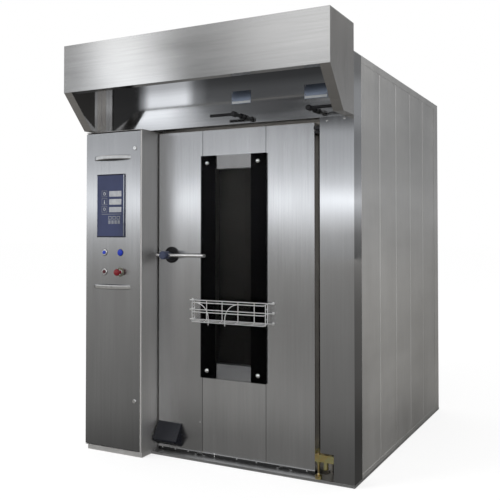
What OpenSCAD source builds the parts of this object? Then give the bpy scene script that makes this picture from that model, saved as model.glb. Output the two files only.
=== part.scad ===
// Rotating rack oven: a walk-in baking chamber with a turning floor plate, a steam hood and a
// control cabinet. Sizes in millimetres. +X is the right-hand side, +Z is up, the front faces -Y.
// The origin is on the floor, in the middle of the outline.
// Inside the modules, y is the depth behind the front face of the right-hand pillar.

/* [Casing] */
// Width of the insulated casing
body_w = 1652; // [1500:1:2000]
// Depth of the insulated casing
body_d = 1865; // [1800:1:2300]
// Height of the casing's top rails
body_h = 2250; // [2150:1:2800]
// Thickness of the folded steel sheets
sheet = 2; // [1.5:0.1:2.5]
// Height of the base tray
base_t = 15; // [12:1:20]
// Width of the base tray's rim
base_rim = 80; // [60:1:100]
// Thickness of the wall planks, with their folded edges
plank_t = 28; // [20:1:35]
// Number of planks on each side
plank_n = 5; // [3:1:7]
// Height of the bottom rails
rail_low_h = 23; // [18:1:30]
// Height of the top rails
rail_top_h = 37; // [30:1:45]
// Depth of the plain strip between the front edge and the first plank
front_strip = 118; // [110:1:130]
// Width of a rear corner post, seen from the side
post_side = 127; // [80:1:140]
// Width of a rear corner post, seen from behind
post_rear = 100; // [60:1:120]
// Width of the pillar on the hinge side
pillar_w = 190; // [150:1:240]

/* [Hood] */
// How far the hood stands out from the casing
hood_out = 337; // [250:1:420]
// Height of the hood's flat top above the casing
hood_rise = 145; // [100:1:200]
// Height of the hood's front face
fascia_h = 274; // [200:1:320]
// Horizontal run of the hood's slanted lower edge
hood_slope = 182; // [120:1:220]
// Width of the folded lips round the hood's mouth
hood_lip = 55; // [30:1:60]
// Outer radius of the extract spigot on the hood
spigot_r = 75; // [60:1:80]
// Height of the extract spigot
spigot_h = 45; // [40:1:80]

/* [Control cabinet] */
// Width of the control cabinet
cabinet_w = 415; // [380:1:450]
// How far the cabinet reaches past the casing's left side
cabinet_overhang = 28; // [20:1:60]
// How far the cabinet stands out in front of the pillar
cabinet_out = 103; // [90:1:150]
// Height of the plinth under the cabinet
plinth_h = 30; // [25:1:40]
// Thickness of the cabinet's door pan
cabinet_door_t = 16; // [14:1:17]
// Width of the display panel
display_w = 206; // [180:1:220]
// Height of the display panel
display_h = 378; // [340:1:400]
// Height of the display panel's centre
display_z = 1470; // [1450:1:1500]
// Radius of a push button's cap
button_r = 11; // [9:0.5:12]
// Radius of the emergency button's mushroom head
mushroom_r = 20; // [18:0.5:24]
// Push button travel
button_travel = 4; // [3:0.5:5]
// Distance between a bow handle's feet
bow_span = 253; // [220:1:270]
// How far a bow handle arches out
bow_rise = 45; // [40:1:60]
// Half the thickness of a bow handle's bar
bow_r = 6; // [5:0.5:8]
// Height of a bow handle's flat bar
bow_h = 26; // [20:1:30]

/* [Door] */
// Height of the header's underside above the floor
header_z = 1919; // [1850:1:1980]
// How far the door's face lies behind the pillar
door_setback = 63; // [55:1:70]
// Thickness of the door leaf behind its face sheets
leaf_t = 58; // [50:1:60]
// Gap between the door and the control cabinet
door_side_gap = 8; // [8:1:15]
// Distance between the door's edge and the pillar
hinge_gap = 57; // [55:1:65]
// Clearance above the door
door_top_gap = 14; // [8:1:20]
// Height of the door's lower edge
door_low_z = 33; // [30:1:40]
// Width of the glass in front of the door
glass_w = 426; // [380:1:450]
// Height of the glass in front of the door
glass_h = 1286; // [1100:1:1350]
// Thickness of a glass pane
glass_t = 6; // [5:1:8]
// Height of the glass's centre
glass_z = 1113; // [1050:1:1150]
// Width of the window hole in the door
window_w = 240; // [232:1:260]
// Height of the window hole in the door
window_h = 1122; // [900:1:1150]
// Height of the door handle
handle_z = 1177; // [1000:1:1300]
// Distance from the door's free edge to the handle's shaft
handle_inset = 92; // [88:1:100]
// Length of the handle's lever from the shaft
lever_len = 272; // [200:1:280]
// Radius of the handle's lever
lever_r = 8; // [6:0.5:10]

/* [Baking chamber] */
// Depth of the baking chamber
chamber_d = 1097; // [1000:1:1150]
// Height of the chamber's ceiling
ceiling_z = 1880; // [1860:1:1900]
// Clear width lost to each door jamb
jamb_cover = 65; // [62:1:80]
// Height of the doorway's head
doorway_z = 1850; // [1800:1:1855]
// Thickness of the turning floor plate
turntable_t = 6.3; // [5:0.1:6.5]
// Number of blades on the fan wheel
blade_n = 12; // [8:1:16]
// Outer radius of the fan wheel
fan_r = 190; // [150:1:200]
// Outer radius of a steam flue
flue_r = 40; // [30:1:42]
// Number of air louvre slats
slat_n = 26; // [20:1:30]
// Number of heating element loops
loop_n = 6; // [4:1:8]
// Number of steam cascade troughs
trough_n = 12; // [8:1:14]

/* [Wire basket] */
// Width of the basket between its end frames
basket_w = 470; // [420:1:500]
// Height of the basket
basket_h = 111; // [90:1:130]
// Depth of the basket from wire to wire
basket_d = 37; // [30:1:60]
// Radius of the basket's long wires
rail_r = 3; // [2.5:0.1:3.5]
// Height of the basket's upper wire
basket_z = 917; // [880:1:940]

/* [Hidden] */
$fn = 64;
hull_fn = 32;
fit_gap = 0.3; // gap between pieces that seat on each other
bore_gap = 0.1; // radial gap round a turning pin

// Casing
overall_w = body_w + cabinet_overhang;
x_right = overall_w / 2;
x_left = x_right - body_w;
y_front = -(body_d - hood_out) / 2;
fascia_z = body_h + hood_rise - fascia_h;
hood_lid_z = body_h + hood_rise - sheet;
roof_z = body_h + sheet;
post_r = 10;

// Control cabinet
cab_x0 = -overall_w / 2;
cab_x1 = cab_x0 + cabinet_w;
cab_back = 110;
cab_top = header_z - 2;
cab_flange = 10;
cab_door_x0 = cab_x0 + 2;
cab_door_x1 = cab_x1 - cab_flange - 1;
cab_door_z0 = plinth_h + 6;
cab_door_z1 = cab_top - 9;
cab_door_back = cabinet_door_t - cabinet_out;
cab_hinge_in = [5, 6]; // the cabinet door's axis, in from its front corner
cab_pin_r = 2.5;
cab_axis = [cab_door_x0 + cab_hinge_in[0], cab_hinge_in[1] - cabinet_out];

// Places on the cabinet's door
display_x = cab_x0 + 191;
button_x = [cab_x0 + 143, cab_x0 + 260];
button_z = [1191, 1075];
bow_x = cab_x0 + 199;
bow_z = [1756, 987];
lock_x = cab_x1 - 49;
lock_z = [1807, 324];

// Door
door_x0 = cab_x1 + door_side_gap;
door_x1 = x_right - pillar_w - hinge_gap;
door_cx = (door_x0 + door_x1) / 2;
door_top = header_z - door_top_gap;
leaf_y0 = door_setback + sheet;
leaf_y1 = leaf_y0 + leaf_t;
hinge_x = door_x1 + 38;
hinge_y = 22;
glass_x = door_cx + 7.5;
glass_y1 = door_setback - 8;
glass_y0 = glass_y1 - glass_t;
seam_x = [glass_x - glass_w / 2 + 7, glass_x + glass_w / 2 - 7];
seam_gap = 3;
window_z = glass_z + 4;
nut_dx = glass_w / 2 - 48;
nut_dz = glass_h / 2 - 44;
handle_x = door_x0 + handle_inset;
shaft_r = 8;
lever_y = -17;

// Doorway and chamber
gasket_t = 9.7;
portal_y0 = leaf_y1 + gasket_t + fit_gap;
portal_y1 = portal_y0 + 40;
sill_top = base_t + 13;
way_x0 = door_x0 + jamb_cover;
way_x1 = door_x1 - jamb_cover;
ch_x0 = door_x0 - 58;
ch_x1 = door_x1 + 72;
ch_y0 = portal_y1;
ch_y1 = ch_y0 + chamber_d;
rot_x = glass_x;
rot_y = (ch_y0 + ch_y1) / 2;
floor_z = base_t + 3;
duct_x0 = ch_x0 - 183;
duct_y1 = body_d - 125;
table_r = min(ch_x1 - rot_x, chamber_d / 2) - 91;
table_top = sill_top;
louvre_y = [rot_y - 140, rot_y + 140];

// Fan, flues and services through the roof
fan_x = rot_x;
fan_y = (ch_y1 + sheet + duct_y1) / 2;
fan_shaft_r = 12;
yoke_shaft_r = 18;
flue_y = portal_y1 + 67;
flue_spigot_h = 110;
flange_w = 22; // a spigot's flange, out from its pipe
flange_seat = 10; // what of it lies on the sheet
damper_z = header_z + 41;
damper_x = [x_right - 660, x_right - 215];
damper_shaft_r = 5;
damper_len = 130;
damper_rod = 150;
damper_rod_r = 8;
water_x = ch_x0 + 175;
water_r = 10.5;
drain_z = 60;
drain_r = 16;
gland_x = x_left + 112;
gland_y = 300;
gland_r = 9;

// Basic shapes ---------------------------------------------------------------

module slab(x, y, z) {
    translate([x[0], y[0], z[0]]) cube([x[1] - x[0], y[1] - y[0], z[1] - z[0]]);
}

module rod_x(x, y, z, r) {
    translate([x[0], y, z]) rotate([0, 90, 0]) cylinder(r = r, h = x[1] - x[0]);
}

module rod_y(x, y, z, r) {
    translate([x, y[0], z]) rotate([-90, 0, 0]) cylinder(r = r, h = y[1] - y[0]);
}

module rod_z(x, y, z, r) {
    translate([x, y, z[0]]) cylinder(r = r, h = z[1] - z[0]);
}

// Turns a profile of (radius, distance forward of y) about an axis along the depth.
module turned_forward(x, y, z, profile) {
    translate([x, y, z]) rotate([90, 0, 0]) rotate_extrude() polygon(profile);
}

// Turns a profile of (radius, height) about a vertical axis.
module turned_up(x, y, z, profile) {
    translate([x, y, z]) rotate_extrude() polygon(profile);
}

// Draws a (depth, height) outline and makes it as wide as x says.
module cross_section(x, outline) {
    translate([x[0], 0, 0]) rotate([90, 0, 90]) linear_extrude(x[1] - x[0]) polygon(outline);
}

module rounded_plate(x, y, z, r) {
    w = x[1] - x[0];
    h = z[1] - z[0];
    translate([(x[0] + x[1]) / 2, y[1], (z[0] + z[1]) / 2]) rotate([90, 0, 0])
        linear_extrude(y[1] - y[0]) rounded_rect(w, h, r);
}

module rounded_rect(w, h, r) {
    square([w - 2 * r, h], center = true);
    square([w, h - 2 * r], center = true);
    for (i = [-1, 1]) {
        for (j = [-1, 1]) {
            translate([i * (w / 2 - r), j * (h / 2 - r)]) circle(r);
        }
    }
}

// Moves a shape from depths behind the front to the part's own frame.
module placed() {
    translate([0, y_front, 0]) children();
}

// Casing ---------------------------------------------------------------------

module base_frame() {
    tray_x = [x_left + base_rim, x_right - base_rim];
    tray_y = [portal_y1, body_d - base_rim];
    color("silver") placed() difference() {
        slab([x_left, x_right], [0, body_d], [0, base_t]);
        slab(tray_x, tray_y, [3, base_t + 1]);
    }
}

// A straight rectangular tube that runs along the depth.
module tube_along_y(x, y, z) {
    difference() {
        slab(x, y, z);
        slab([x[0] + sheet, x[1] - sheet], [y[0] - 1, y[1] + 1], [z[0] + sheet, z[1] - sheet]);
    }
}

module tube_along_x(x, y, z) {
    difference() {
        slab(x, y, z);
        slab([x[0] - 1, x[1] + 1], [y[0] + sheet, y[1] - sheet], [z[0] + sheet, z[1] - sheet]);
    }
}

// A rear corner post: a folded angle with a rounded outer edge. side is 1 on the right, -1 on the left.
module corner_post(side) {
    x = side > 0 ? x_right : x_left;
    inner = -side * sheet;
    translate([x, body_d, base_t]) linear_extrude(body_h - base_t) {
        translate([min(0, inner), -post_side]) square([sheet, post_side - post_r]);
        translate([side > 0 ? -post_rear : post_r, -sheet]) square([post_rear - post_r, sheet]);
        translate([-side * post_r, -post_r]) intersection() {
            difference() {
                circle(post_r);
                circle(post_r - sheet);
            }
            translate([side > 0 ? 0 : -post_r, 0]) square(post_r);
        }
    }
}

module posts_and_rails() {
    side_y = [front_strip, body_d - post_side - fit_gap];
    rear_x = [x_left + post_rear + fit_gap, x_right - post_rear - fit_gap];
    color("silver") placed() {
        corner_post(1);
        corner_post(-1);
        for (z = [[base_t, base_t + rail_low_h], [body_h - rail_top_h, body_h]]) {
            tube_along_y([x_right - plank_t - 2, x_right], side_y, z);
            tube_along_y([x_left, x_left + plank_t + 2], side_y, z);
            tube_along_x(rear_x, [body_d - plank_t - 2, body_d], z);
        }
    }
}

// One wall plank: a long folded pan with bevelled edges, drawn with its face towards +y.
module plank(w, h) {
    bevel = 4;
    linear_extrude(h) difference() {
        polygon([[0, 0], [w, 0], [w, plank_t - bevel], [w - bevel, plank_t], [bevel, plank_t],
            [0, plank_t - bevel]]);
        polygon([[sheet, -1], [w - sheet, -1], [w - sheet, plank_t - bevel - sheet / 2],
            [w - bevel - sheet / 2, plank_t - sheet], [bevel + sheet / 2, plank_t - sheet],
            [sheet, plank_t - bevel - sheet / 2]]);
    }
}

module side_planks() {
    pitch = (body_d - post_side - front_strip) / plank_n;
    z0 = base_t + rail_low_h;
    h = body_h - rail_top_h - z0;
    color("silver") placed() for (i = [0 : plank_n - 1]) {
        y = front_strip + i * pitch;
        translate([x_right - plank_t - 1, y + pitch - fit_gap, z0]) rotate([0, 0, -90])
            plank(pitch - 2 * fit_gap, h);
        difference() {
            translate([x_left + plank_t + 1, y + fit_gap, z0]) rotate([0, 0, 90])
                plank(pitch - 2 * fit_gap, h);
            rod_x([x_left - 1, x_left + plank_t + 2], fan_y, drain_z, drain_r + 1);
        }
    }
}

module rear_planks() {
    x0 = x_left + post_rear;
    pitch = (body_w - 2 * post_rear) / plank_n;
    z0 = base_t + rail_low_h;
    h = body_h - rail_top_h - z0;
    color("silver") placed() for (i = [0 : plank_n - 1]) {
        translate([x0 + i * pitch + fit_gap, body_d - plank_t - 1, z0])
            plank(pitch - 2 * fit_gap, h);
    }
}

module roof_panel() {
    color("silver") placed() difference() {
        translate([0, 0, body_h]) linear_extrude(sheet) {
            translate([x_left, 0]) square([body_w, body_d - post_r]);
            translate([x_left + post_r, body_d - 2 * post_r]) square([body_w - 2 * post_r, 2 * post_r]);
            translate([x_left + post_r, body_d - post_r]) circle(post_r);
            translate([x_right - post_r, body_d - post_r]) circle(post_r);
        }
        for (x = damper_x) {
            rod_z(x, flue_y, [body_h - 1, roof_z + 1], flue_r + flange_w - flange_seat);
        }
        rod_z(rot_x, rot_y, [body_h - 1, roof_z + 1], yoke_shaft_r + 12);
        rod_z(fan_x, fan_y, [body_h - 1, roof_z + 1], fan_shaft_r + 12);
        rod_z(water_x, fan_y, [body_h - 1, roof_z + 1], water_r + fit_gap);
        rod_z(gland_x, gland_y, [body_h - 1, roof_z + 1], gland_r + 3 + fit_gap);
    }
}

module front_pillars() {
    x0 = x_right - pillar_w;
    z = [base_t, header_z - fit_gap];
    notch_x1 = x0 + 74;
    notch_z = base_t + 141;
    left_y = cab_back + fit_gap;
    color("silver") placed() {
        difference() {
            union() {
                slab([x0, x_right], [0, sheet], z);
                slab([x_right - sheet, x_right], [0, front_strip - fit_gap], z);
                slab([x0, x0 + sheet], [0, front_strip - fit_gap], z);
            }
            slab([x0 - 1, notch_x1], [-1, front_strip], [base_t - 1, notch_z]);
        }
        slab([x_left, cab_x1 - 3], [left_y, left_y + sheet], z);
        slab([x_left, x_left + sheet], [left_y + sheet, front_strip - fit_gap], z);
        slab([cab_x1 - 5, cab_x1 - 3], [left_y + sheet, portal_y0 - fit_gap], z);
    }
}

module header_panel() {
    z1 = body_h - fit_gap;
    x = [x_left + sheet + fit_gap, x_right - sheet - fit_gap];
    color("silver") placed() difference() {
        union() {
            slab(x, [30 - sheet, 30], [header_z + sheet + fit_gap, z1]);
            slab(x, [0, front_strip - fit_gap], [header_z, header_z + sheet]);
            slab([x_left + plank_t + 4, x_right - plank_t - 4], [front_strip - 20,
                portal_y0 - fit_gap], [header_z, header_z + sheet]);
            slab([x_right - sheet, x_right], [0, front_strip - fit_gap], [header_z, z1]);
            slab([x_left, x_left + sheet], [0, front_strip - fit_gap], [header_z, z1]);
        }
        for (x = damper_x) {
            rod_y(x, [20, 40], damper_z, damper_shaft_r + 1);
        }
    }
}

// Hood -----------------------------------------------------------------------

module hood_fascia() {
    color("lightgray") placed() {
        slab([x_left, x_right], [-hood_out, sheet - hood_out], [fascia_z, hood_lid_z + sheet]);
        slab([x_left + hood_lip + sheet, x_right - hood_lip - sheet],
            [sheet - hood_out, hood_lip - hood_out], [fascia_z, fascia_z + sheet]);
    }
}

// The outline of a hood side, with its slanted lower edge.
function hood_outline(back, low) = [
    [sheet - hood_out, hood_lid_z], [sheet - hood_out, fascia_z + low],
    [hood_slope - hood_out, header_z + low], [back, header_z + low], [back, hood_lid_z]
];

// A hood side: a flat sheet whose slanted edge and underside are folded inwards.
module hood_side(side) {
    plate = side > 0 ? [x_right - sheet, x_right] : [x_left, x_left + sheet];
    lip = side > 0 ? [x_right - hood_lip, x_right - sheet] : [x_left + sheet, x_left + hood_lip];
    rise = fascia_z - header_z;
    lift = sheet * sqrt(hood_slope * hood_slope + rise * rise) / hood_slope;
    cross_section(plate, hood_outline(0, 0));
    cross_section(lip, [
        [sheet - hood_out, fascia_z], [hood_slope - hood_out, header_z], [0, header_z],
        [0, header_z + sheet], [hood_slope - hood_out + 1, header_z + sheet],
        [sheet - hood_out, fascia_z + lift]
    ]);
}

// Two sides, the back above the roof and a folded strut in the left-hand inner corner.
module hood_sides() {
    strut_w = 34;
    inner = [x_left + sheet + fit_gap, x_right - sheet - fit_gap];
    color("silver") placed() {
        slab(inner, [-sheet, 0], [roof_z, hood_lid_z - fit_gap]);
        hood_side(1);
        hood_side(-1);
        translate([inner[0], 2, header_z + sheet]) linear_extrude(body_h - header_z - sheet)
            difference() {
                square([strut_w, 26 - fit_gap]);
                translate([sheet, sheet]) square([strut_w - 2 * sheet, 26]);
            }
    }
}

// The flat top and the round spigot that takes the extract duct.
module hood_top() {
    spigot_x = (x_left + x_right) / 2;
    spigot_y = -spigot_r - flange_w - 8;
    lid_top = hood_lid_z + sheet;
    color("silver") placed() {
        difference() {
            slab([x_left, x_right], [sheet - hood_out, 0], [hood_lid_z, hood_lid_z + sheet]);
            rod_z(spigot_x, spigot_y, [hood_lid_z - 1, lid_top + 1], spigot_r + flange_w - flange_seat);
        }
        turned_up(spigot_x, spigot_y, lid_top + fit_gap, [[spigot_r - 1.5, 0], [spigot_r + flange_w, 0],
            [spigot_r + flange_w, sheet], [spigot_r, sheet], [spigot_r, spigot_h],
            [spigot_r - 1.5, spigot_h]]);
    }
}

// Control cabinet ------------------------------------------------------------

module control_box() {
    g = fit_gap;
    x = [cab_x0 + sheet + g, cab_x1 - sheet - g];
    z = [plinth_h, cab_top];
    shelf_y = cab_door_back + 2.5;
    front_y = -cabinet_out;
    inner_z = [plinth_h + sheet + g, cab_top - sheet - g];
    color("silver") placed() {
        slab([cab_x0, cab_x0 + sheet], [shelf_y, cab_back], z);
        slab([cab_x1 - sheet, cab_x1], [front_y, cab_back], z);
        slab(x, [cab_back - sheet, cab_back], inner_z);
        slab(x, [front_y, cab_back], [cab_top - sheet, cab_top]);
        slab(x, [front_y, cab_back], [plinth_h, plinth_h + sheet]);
        slab([cab_x1 - cab_flange, x[1]], [front_y, front_y + sheet], inner_z);
        slab([cab_x1 - 22, x[1]], [shelf_y, shelf_y + sheet], inner_z);
        rod_z(cab_axis[0], cab_axis[1], [inner_z[0], cab_door_z0 + 12], cab_pin_r);
        rod_z(cab_axis[0], cab_axis[1], [inner_z[0], cab_door_z0 - g], 2 * cab_pin_r - 1);
        rod_z(cab_axis[0], cab_axis[1], [cab_door_z1 - 10, inner_z[1]], cab_pin_r);
    }
    color("dimgray") placed() difference() {
        slab([cab_x0 + 15, cab_x1], [front_y + 8, cab_back - 5], [0, plinth_h - g]);
        slab([cab_x0 + 19, cab_x1 - 4], [front_y + 12, cab_back - 9], [-1, plinth_h]);
        slab([x_left - g, cab_x1 + 1], [-g, cab_back], [-1, base_t + g]);
    }
}

// Mounting plate, rails, contactors and wire ducts inside the cabinet.
module electrics() {
    g = fit_gap;
    x = [cab_x0 + 25, cab_x1 - 25];
    plate_y = cab_back - sheet - 4;
    rail_y = plate_y - 8;
    front = rail_y - 47;
    module_w = 62;
    pitch = module_w + 6;
    module_n = floor((x[1] - x[0] - 20) / pitch);
    color("gainsboro") placed() {
        slab(x, [plate_y, plate_y + sheet], [250, 1750]);
        for (dx = [x[0] + 12, x[1] - 12]) {
            for (z = [270, 1730]) {
                rod_y(dx, [plate_y + sheet + g, cab_back - sheet - g], z, 6);
            }
        }
        for (z = [1600, 1250, 900]) {
            slab([x[0] + 10, x[1] - 10], [rail_y, plate_y - g], [z - 17, z + 17]);
            for (i = [0 : module_n - 1]) {
                mx = x[0] + 14 + i * pitch;
                slab([mx, mx + module_w], [front + 12, rail_y - g], [z - 42, z + 42]);
                slab([mx + 10, mx + module_w - 10], [front, front + 13], [z - 24, z + 24]);
            }
        }
        for (z = [1425, 1075, 725]) {
            slab([x[0] + 10, x[1] - 10], [front + 14, plate_y - g], [z - 30, z + 30]);
        }
    }
}

module control_door() {
    x = [cab_door_x0, cab_door_x1];
    z = [cab_door_z0, cab_door_z1];
    color("silver") placed() difference() {
        slab(x, [-cabinet_out, cab_door_back], z);
        slab([x[0] + sheet, x[1] - sheet], [sheet - cabinet_out, cab_door_back + 1],
            [z[0] + sheet, z[1] - sheet]);
        rod_z(cab_axis[0], cab_axis[1], [z[0] - 1, z[1] + 1], cab_pin_r + bore_gap);
        for (bx = button_x) {
            for (bz = button_z) {
                rod_y(bx, [-cabinet_out - 1, sheet - cabinet_out + 1], bz, button_r + 2 + bore_gap);
            }
        }
        for (lz = lock_z) {
            rod_y(lock_x, [-cabinet_out - 1, sheet - cabinet_out + 1], lz, 8 + bore_gap);
        }
    }
}

// The operating panel: a framed plate with three number windows, a key block and small key squares.
module display_panel() {
    y0 = -cabinet_out - 6;
    face = [display_x - display_w / 2, display_x + display_w / 2];
    window_x = [face[0] + 90, face[0] + 187];
    window_top = [1558, 1510, 1462];
    window_hgt = 34;
    color("midnightblue") placed() difference() {
        rounded_plate(face, [y0, -cabinet_out], [display_z - display_h / 2, display_z + display_h / 2], 8);
        rounded_plate([face[0] + 7, face[1] - 7], [y0 - 1, y0 + 1.2],
            [display_z - display_h / 2 + 7, display_z + display_h / 2 - 7], 5);
        for (top = window_top) {
            rounded_plate(window_x, [y0 - 1, y0 + 2.2], [top - window_hgt, top], 3);
            rounded_plate([face[0] + 45, face[0] + 82], [y0 - 1, y0 + 1.8], [top - window_hgt, top], 3);
        }
        for (i = [0 : 2]) {
            rounded_plate([window_x[0] + i * 34, window_x[0] + i * 34 + 28], [y0 - 1, y0 + 1.8],
                [1362, 1406], 3);
        }
    }
}

module bow_handles() {
    bend_r = (bow_span * bow_span / 4 + bow_rise * bow_rise) / (2 * bow_rise);
    half = asin(bow_span / 2 / bend_r);
    color("gainsboro") placed() for (z = bow_z) {
        translate([bow_x, bend_r - bow_rise - cabinet_out, z]) difference() {
            rotate([0, 0, -90 - half - 3]) rotate_extrude(angle = 2 * half + 6, $fn = 128)
                translate([bend_r, 0]) flat_bar(2 * bow_r, bow_h);
            translate([-bow_span, bow_rise - bend_r, -20]) cube([2 * bow_span, 60, 40]);
        }
    }
}

// The section of a flat bar with round edges.
module flat_bar(w, h) {
    square([w, h - w], center = true);
    for (i = [-1, 1]) {
        translate([0, i * (h - w) / 2]) circle(w / 2);
    }
}

// A bezel: a ring in front of the door, a neck through it and a nut behind, with a bore for the cap.
module bezel(x, z) {
    b = button_r + bore_gap;
    n = button_r + 2;
    turned_forward(x, -cabinet_out, z, [
        [b, -14], [button_r + 5, -14], [button_r + 5, -sheet], [n, -sheet], [n, 0],
        [button_r + 4.5, 0], [button_r + 4.5, 3], [button_r + 3, 5], [b, 5]
    ]);
}

module button_bezels() {
    color("gainsboro") placed() for (x = button_x) {
        for (z = button_z) {
            bezel(x, z);
        }
    }
}

// A push button: a slightly domed cap with a guide skirt inside the bezel.
module push_button(x, z) {
    turned_forward(x, -cabinet_out, z, [
        [0, -20], [5, -20], [5, -12], [button_r, -12], [button_r, 8], [button_r - 1.5, 9.5], [0, 10]
    ]);
}

module start_button() {
    color("steelblue") placed() push_button(button_x[0], button_z[0]);
}

module lamp_button() {
    color("steelblue") placed() push_button(button_x[1], button_z[0]);
}

module stop_button() {
    color("darkred") placed() push_button(button_x[0], button_z[1]);
}

module emergency_button() {
    color("red") placed() turned_forward(button_x[1], -cabinet_out, button_z[1], [
        [0, -20], [5, -20], [5, -12], [button_r, -12], [button_r, 20], [mushroom_r - 6, 26],
        [mushroom_r, 30], [mushroom_r, 36], [mushroom_r - 3, 41], [mushroom_r - 10, 44], [0, 45]
    ]);
}

// A quarter-turn lock: a slotted drum in the door and a tongue behind it, stored unlocked.
module cam_lock(z) {
    y = cab_door_back + 2.5 + sheet;
    difference() {
        turned_forward(lock_x, -cabinet_out, z, [
            [0, -24], [8, -24], [8, 0], [12, 0], [12, 3], [10, 6], [0, 6]
        ]);
        slab([lock_x - 1.5, lock_x + 1.5], [-cabinet_out - 7, -cabinet_out - 3], [z - 6, z + 6]);
    }
    slab([lock_x - 7, lock_x + 7], [24 - cabinet_out, 27 - cabinet_out], [z - 42, z + 8]);
}

module upper_lock() {
    color("gainsboro") placed() cam_lock(lock_z[0]);
}

module lower_lock() {
    color("gainsboro") placed() cam_lock(lock_z[1]);
}

// Door -----------------------------------------------------------------------

module door_panel(x) {
    slab(x, [door_setback, leaf_y0], [door_low_z, door_top]);
}

module door_left_panel() {
    color("lightgray") placed() difference() {
        door_panel([door_x0, seam_x[0] - seam_gap / 2]);
        rod_y(handle_x, [door_setback - 1, leaf_y0 + 1], handle_z, shaft_r + bore_gap);
    }
}

module window_hole(y) {
    slab([glass_x - window_w / 2, glass_x + window_w / 2], y,
        [window_z - window_h / 2, window_z + window_h / 2]);
}

module door_middle_panel() {
    color("lightgray") placed() difference() {
        door_panel([seam_x[0] + seam_gap / 2, seam_x[1] - seam_gap / 2]);
        window_hole([door_setback - 1, leaf_y0 + 1]);
    }
}

module door_right_panel() {
    color("lightgray") placed() door_panel([seam_x[1] + seam_gap / 2, door_x1]);
}

// A folded pan behind the face sheets, with a channel round the window hole.
module door_leaf() {
    z = [door_low_z, door_top];
    color("darkgray") placed() difference() {
        slab([door_x0, door_x1], [leaf_y0, leaf_y1], z);
        difference() {
            slab([door_x0 + sheet, door_x1 - sheet], [leaf_y0 - 1, leaf_y1 - sheet],
                [z[0] + sheet, z[1] - sheet]);
            window_block(sheet);
        }
        window_block(0);
        rod_y(handle_x, [leaf_y0 - 1, leaf_y1 + 1], handle_z, shaft_r + bore_gap);
    }
}

// A block through the door as large as the window hole and a margin round it.
module window_block(margin) {
    slab([glass_x - window_w / 2 - margin, glass_x + window_w / 2 + margin],
        [door_setback - 2, leaf_y1 + 2],
        [window_z - window_h / 2 - margin, window_z + window_h / 2 + margin]);
}

// The insulation inside the door.
module door_wool() {
    g = sheet + fit_gap;
    color("khaki") placed() difference() {
        slab([door_x0 + g, door_x1 - g], [leaf_y0 + fit_gap, leaf_y1 - g],
            [door_low_z + g, door_top - g]);
        window_block(g);
        rod_y(handle_x, [leaf_y0 - 1, leaf_y1 + 1], handle_z, shaft_r + 4);
    }
}

module at_nuts() {
    for (i = [-1, 1]) {
        for (j = [-1, 1]) {
            translate([glass_x + i * nut_dx, 0, glass_z + j * nut_dz]) children();
        }
    }
}

module door_glasses() {
    inset = window_w / 2 - fit_gap;
    pane_y = leaf_y1 - 20;
    color("black", 0.6) placed() {
        difference() {
            rounded_plate([glass_x - glass_w / 2, glass_x + glass_w / 2], [glass_y0, glass_y1],
                [glass_z - glass_h / 2, glass_z + glass_h / 2], 4);
            at_nuts() rod_y(0, [glass_y0 - 1, glass_y1 + 1], 0, 5.3);
        }
        slab([glass_x - inset, glass_x + inset], [pane_y, pane_y + glass_t],
            [window_z - window_h / 2 + fit_gap, window_z + window_h / 2 - fit_gap]);
    }
}

// A dome nut on its stud, with a spacer ring between the glass and the door.
module dome_nuts() {
    color("gainsboro") placed() at_nuts() {
        turned_forward(0, glass_y0, 0, [
            [0, glass_y0 - door_setback + fit_gap], [5, glass_y0 - door_setback + fit_gap], [5, 0],
            [13, 0], [13, 4], [12, 8], [9, 11.5], [5, 13.3], [0, 14]
        ]);
        turned_forward(0, door_setback, 0, [[5.3, 0], [10, 0], [10, 8], [5.3, 8]]);
    }
}

module door_gasket() {
    w = 16;
    x = [door_x0 + 20, door_x1 - 20];
    z = [door_low_z + 7, door_top - 20];
    color("dimgray") placed() difference() {
        slab(x, [leaf_y1, leaf_y1 + gasket_t], z);
        slab([x[0] + w, x[1] - w], [leaf_y1 - 1, leaf_y1 + gasket_t + 1], [z[0] - 1, z[1] - w]);
    }
}

// The rubber blade under the door, wider at the top where it is clamped.
module bottom_seal() {
    y = door_setback + 3;
    color("black") placed() cross_section([door_x0, door_x1], [
        [y, door_low_z], [y, door_low_z - 10], [y + 2, door_low_z - 12], [y + 2, base_t + 0.6],
        [y + 5, base_t + 0.6], [y + 6, door_low_z - 8], [y + 6, door_low_z]
    ]);
}

module handle_rosette() {
    color("black") placed() turned_forward(handle_x, door_setback, handle_z, [
        [shaft_r + bore_gap, 0], [48, 0], [48, 7], [45, 11], [40, 12], [38, 9], [31, 9], [28, 12],
        [shaft_r + bore_gap, 12]
    ]);
}

// The hub in front, the shaft through the door and the latch tongue behind the doorway's jamb.
module handle_hub() {
    tongue_y = portal_y1 + 2;
    color("darkslateblue") placed() difference() {
        union() {
            turned_forward(handle_x, lever_y, handle_z, [
                [0, 12 - tongue_y - 12 + lever_y], [shaft_r, 12 - tongue_y - 12 + lever_y],
                [shaft_r, -66], [15, -64], [15, -38], [24, -30], [24, 18], [21, 23], [0, 24]
            ]);
            slab([handle_x - 9, handle_x + 9], [tongue_y, tongue_y + 8], [handle_z - 12, handle_z + 60]);
        }
        rod_x([handle_x - 60, handle_x + 60], lever_y, handle_z, lever_r + 0.05);
    }
}

module handle_lever() {
    x = [handle_x - 54, handle_x + lever_len - lever_r];
    color("gainsboro") placed() {
        rod_x(x, lever_y, handle_z, lever_r);
        translate([x[1], lever_y, handle_z]) sphere(lever_r);
    }
}

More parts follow.
